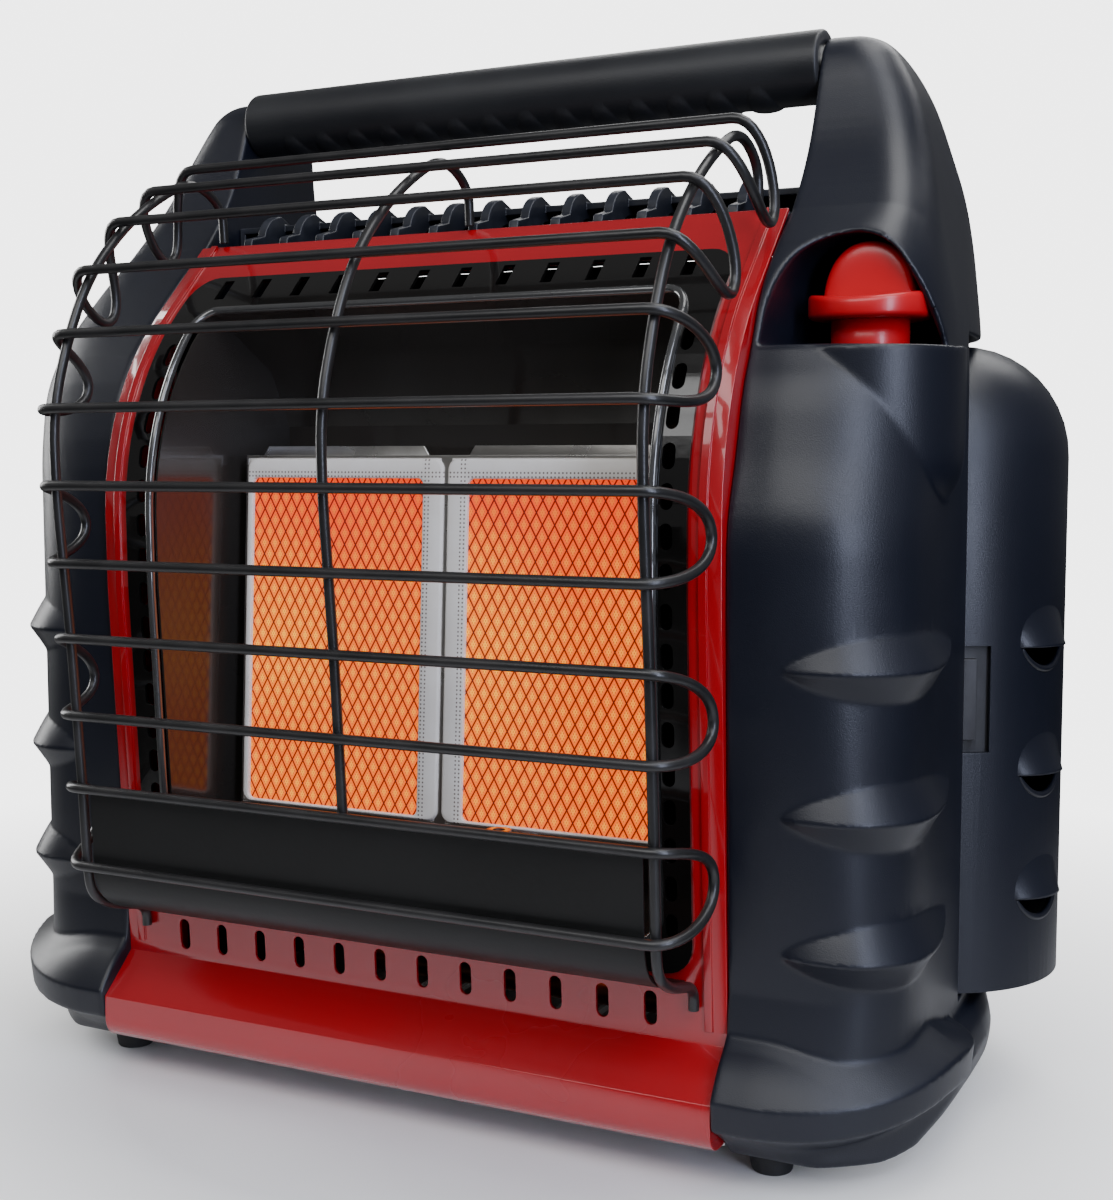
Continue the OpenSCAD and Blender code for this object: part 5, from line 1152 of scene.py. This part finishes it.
def on_drum(side, angle, radius, z):
    """Points on a cylinder cover's drum: an angle round it, a radius and a height."""
    grid = points_from(DRUM[0] + radius * np.cos(angle), DRUM[1] + radius * np.sin(angle), z)
    grid[..., 0] *= side
    return grid


def vent_brow(side, z0):
    """The raised brow over a vent: a patch of the drum pushed out most along its lower edge and fading
    upwards, with a flat underside that returns to the drum."""
    u = np.linspace(-1, 1, 41)[:, None]
    v = np.linspace(0, 1, 17)[None, :]
    w = np.linspace(1, 0, 4)[None, :]
    opening = np.clip(1 - u * u, 0, 1)
    spread = VENT_ANGLE + u * HOOD_HALF / DRUM_R
    top = on_drum(side, spread, HOOD_R + HOOD_OUT * opening ** 0.8 * (1 - v) ** 1.3,
                  z0 + 0.3 + HOOD_UP * v * (0.3 + 0.7 * np.sqrt(opening)))
    under = on_drum(side, spread, HOOD_R + HOOD_OUT * opening ** 0.8 * (1 - w) - 1.5 * w,
                    z0 + 0.1 + 0.2 * (1 - w))
    return grid_piece("brow", np.concatenate([under, top], 1), flip=side > 0)


def vent_lip(side, z0):
    """The thick rim below a vent: a round bar along the half moon's lower edge, thinning at both ends."""
    u = np.linspace(-1, 1, 49)
    across = RIM_HALF * np.sin(u * np.pi / 2)
    drop = np.maximum(np.sqrt(np.maximum(MOON_R ** 2 - across ** 2, 0)) - MOON_CUT, 0)
    angle = VENT_ANGLE + across / DRUM_R
    path = on_drum(side, angle, RIM_R, z0 - drop)
    outward = on_drum(side, angle, RIM_R + 1, z0 - drop) - path
    return bar_piece("lip", path, 0.5 + 0.9 * np.cos(u * np.pi / 2) ** 0.7, outward, sides=12)


for side, node in ((1, "tank_cover_right"), (-1, "tank_cover_left")):
    details = [shape(side, z) for z in VENT_ZS for shape in (vent_brow, vent_lip)]
    trim(joined(node + "_vent_rims", details), node)


# ---- stage, lights, camera ------------------------------------------------------------------------

BACKDROP = (0.90, 0.90, 0.905)
BACKDROP_LIGHT = 4.5
LIT_FROM, LIT_RATE = 0.16, 2.0       # from how far out, m, the floor turns into the backdrop, and how fast


def stage_material(name, tone, rough):
    """Plain matt paper that, seen by the camera, turns into the lit backdrop further out."""
    material = finish_material(name, tone, tuple(t * 0.985 for t in tone), (rough, rough), grain=300)
    nodes, links = material.node_tree.nodes, material.node_tree.links
    calc = partial(math_node, nodes, links)
    shader = nodes["Principled BSDF"]
    base_colour = shader.inputs["Base Color"]
    distance = nodes.new("ShaderNodeVectorMath")
    distance.operation = "LENGTH"
    links.new(nodes.new("ShaderNodeTexCoord").outputs["Object"], distance.inputs[0])
    far = calc("MULTIPLY", calc("SUBTRACT", distance.outputs["Value"], LIT_FROM), LIT_RATE, True)
    seen = nodes.new("ShaderNodeLightPath").outputs["Is Camera Ray"]
    links.new(mixed(nodes, links, far, base_colour.links[0].from_socket, (0, 0, 0)), base_colour)
    lit = mixed(nodes, links, calc("MULTIPLY", far, seen), (0, 0, 0), BACKDROP)
    links.new(lit, shader.inputs["Emission Color"])
    shader.inputs["Emission Strength"].default_value = BACKDROP_LIGHT
    shader.inputs["Specular IOR Level"].default_value = 0.2
    return material


floor_mesh = bpy.data.meshes.new("floor")
floor_mesh.from_pydata([(-6, -6, 0), (6, -6, 0), (6, 6, 0), (-6, 6, 0)], [], [(0, 1, 2, 3)])
floor = shown("floor", floor_mesh)
floor.data.materials.append(stage_material("pale_floor", BACKDROP, 0.6))

world = bpy.data.worlds.new("studio")
bpy.context.scene.world = world
world.use_nodes = True
world_nodes, world_links = world.node_tree.nodes, world.node_tree.links
background = world_nodes["Background"]
background.inputs["Color"].default_value = (*BACKDROP, 1)
seen = world_nodes.new("ShaderNodeLightPath").outputs["Is Camera Ray"]
world_links.new(ranged(world_nodes, world_links, seen, 0.15, BACKDROP_LIGHT), background.inputs["Strength"])

# By name: place, target, size, power and tint.
SOFTBOXES = {
    "key": ((0.1, -1.25, 1.35), (0, 0, 0.2), (1.6, 0.8), 15, (1, 1, 1)),
    "right": ((1.21, -0.88, 0.47), (0.18, -0.07, 0.25), (0.28, 0.85), 11, (0.70, 0.77, 1.0)),
    "left": ((-1.35, 0.05, 0.6), (-0.15, -0.05, 0.2), (0.5, 0.9), 10, (1, 1, 1)),
    "right_high": ((0.87, -0.57, 1.08), (0.18, -0.09, 0.15), (0.34, 0.55), 6, (0.76, 0.82, 1.0)),
    "top": ((0.42, 0.1, 1.5), (0.1, 0, 0.2), (1.0, 0.6), 8, (1, 1, 1)),
    "back": ((0.0, 1.0, 1.3), (0, 0, 0.35), (1.4, 0.6), 9, (1, 1, 1)),
}
for name, (place, target, size, watts, tint) in SOFTBOXES.items():
    lamp = bpy.data.lights.new(name, "AREA")
    lamp.shape = "RECTANGLE"
    lamp.size, lamp.size_y = size
    lamp.energy = watts
    lamp.color = tint
    softbox = shown(name, lamp)
    softbox.location = place
    softbox.rotation_euler = Vector(np.subtract(target, place)).to_track_quat("-Z", "Y").to_euler()

camera_data = bpy.data.cameras.new("camera")
camera_data.lens = 50.129
camera_data.sensor_width = 36
camera_data.sensor_fit = "AUTO"
camera = shown("camera", camera_data)
camera.location = (0.344706, -0.62971, 0.261241)
camera.rotation_euler = (math.pi / 2 - 0.084, 0, 0.461)
bpy.context.scene.camera = camera
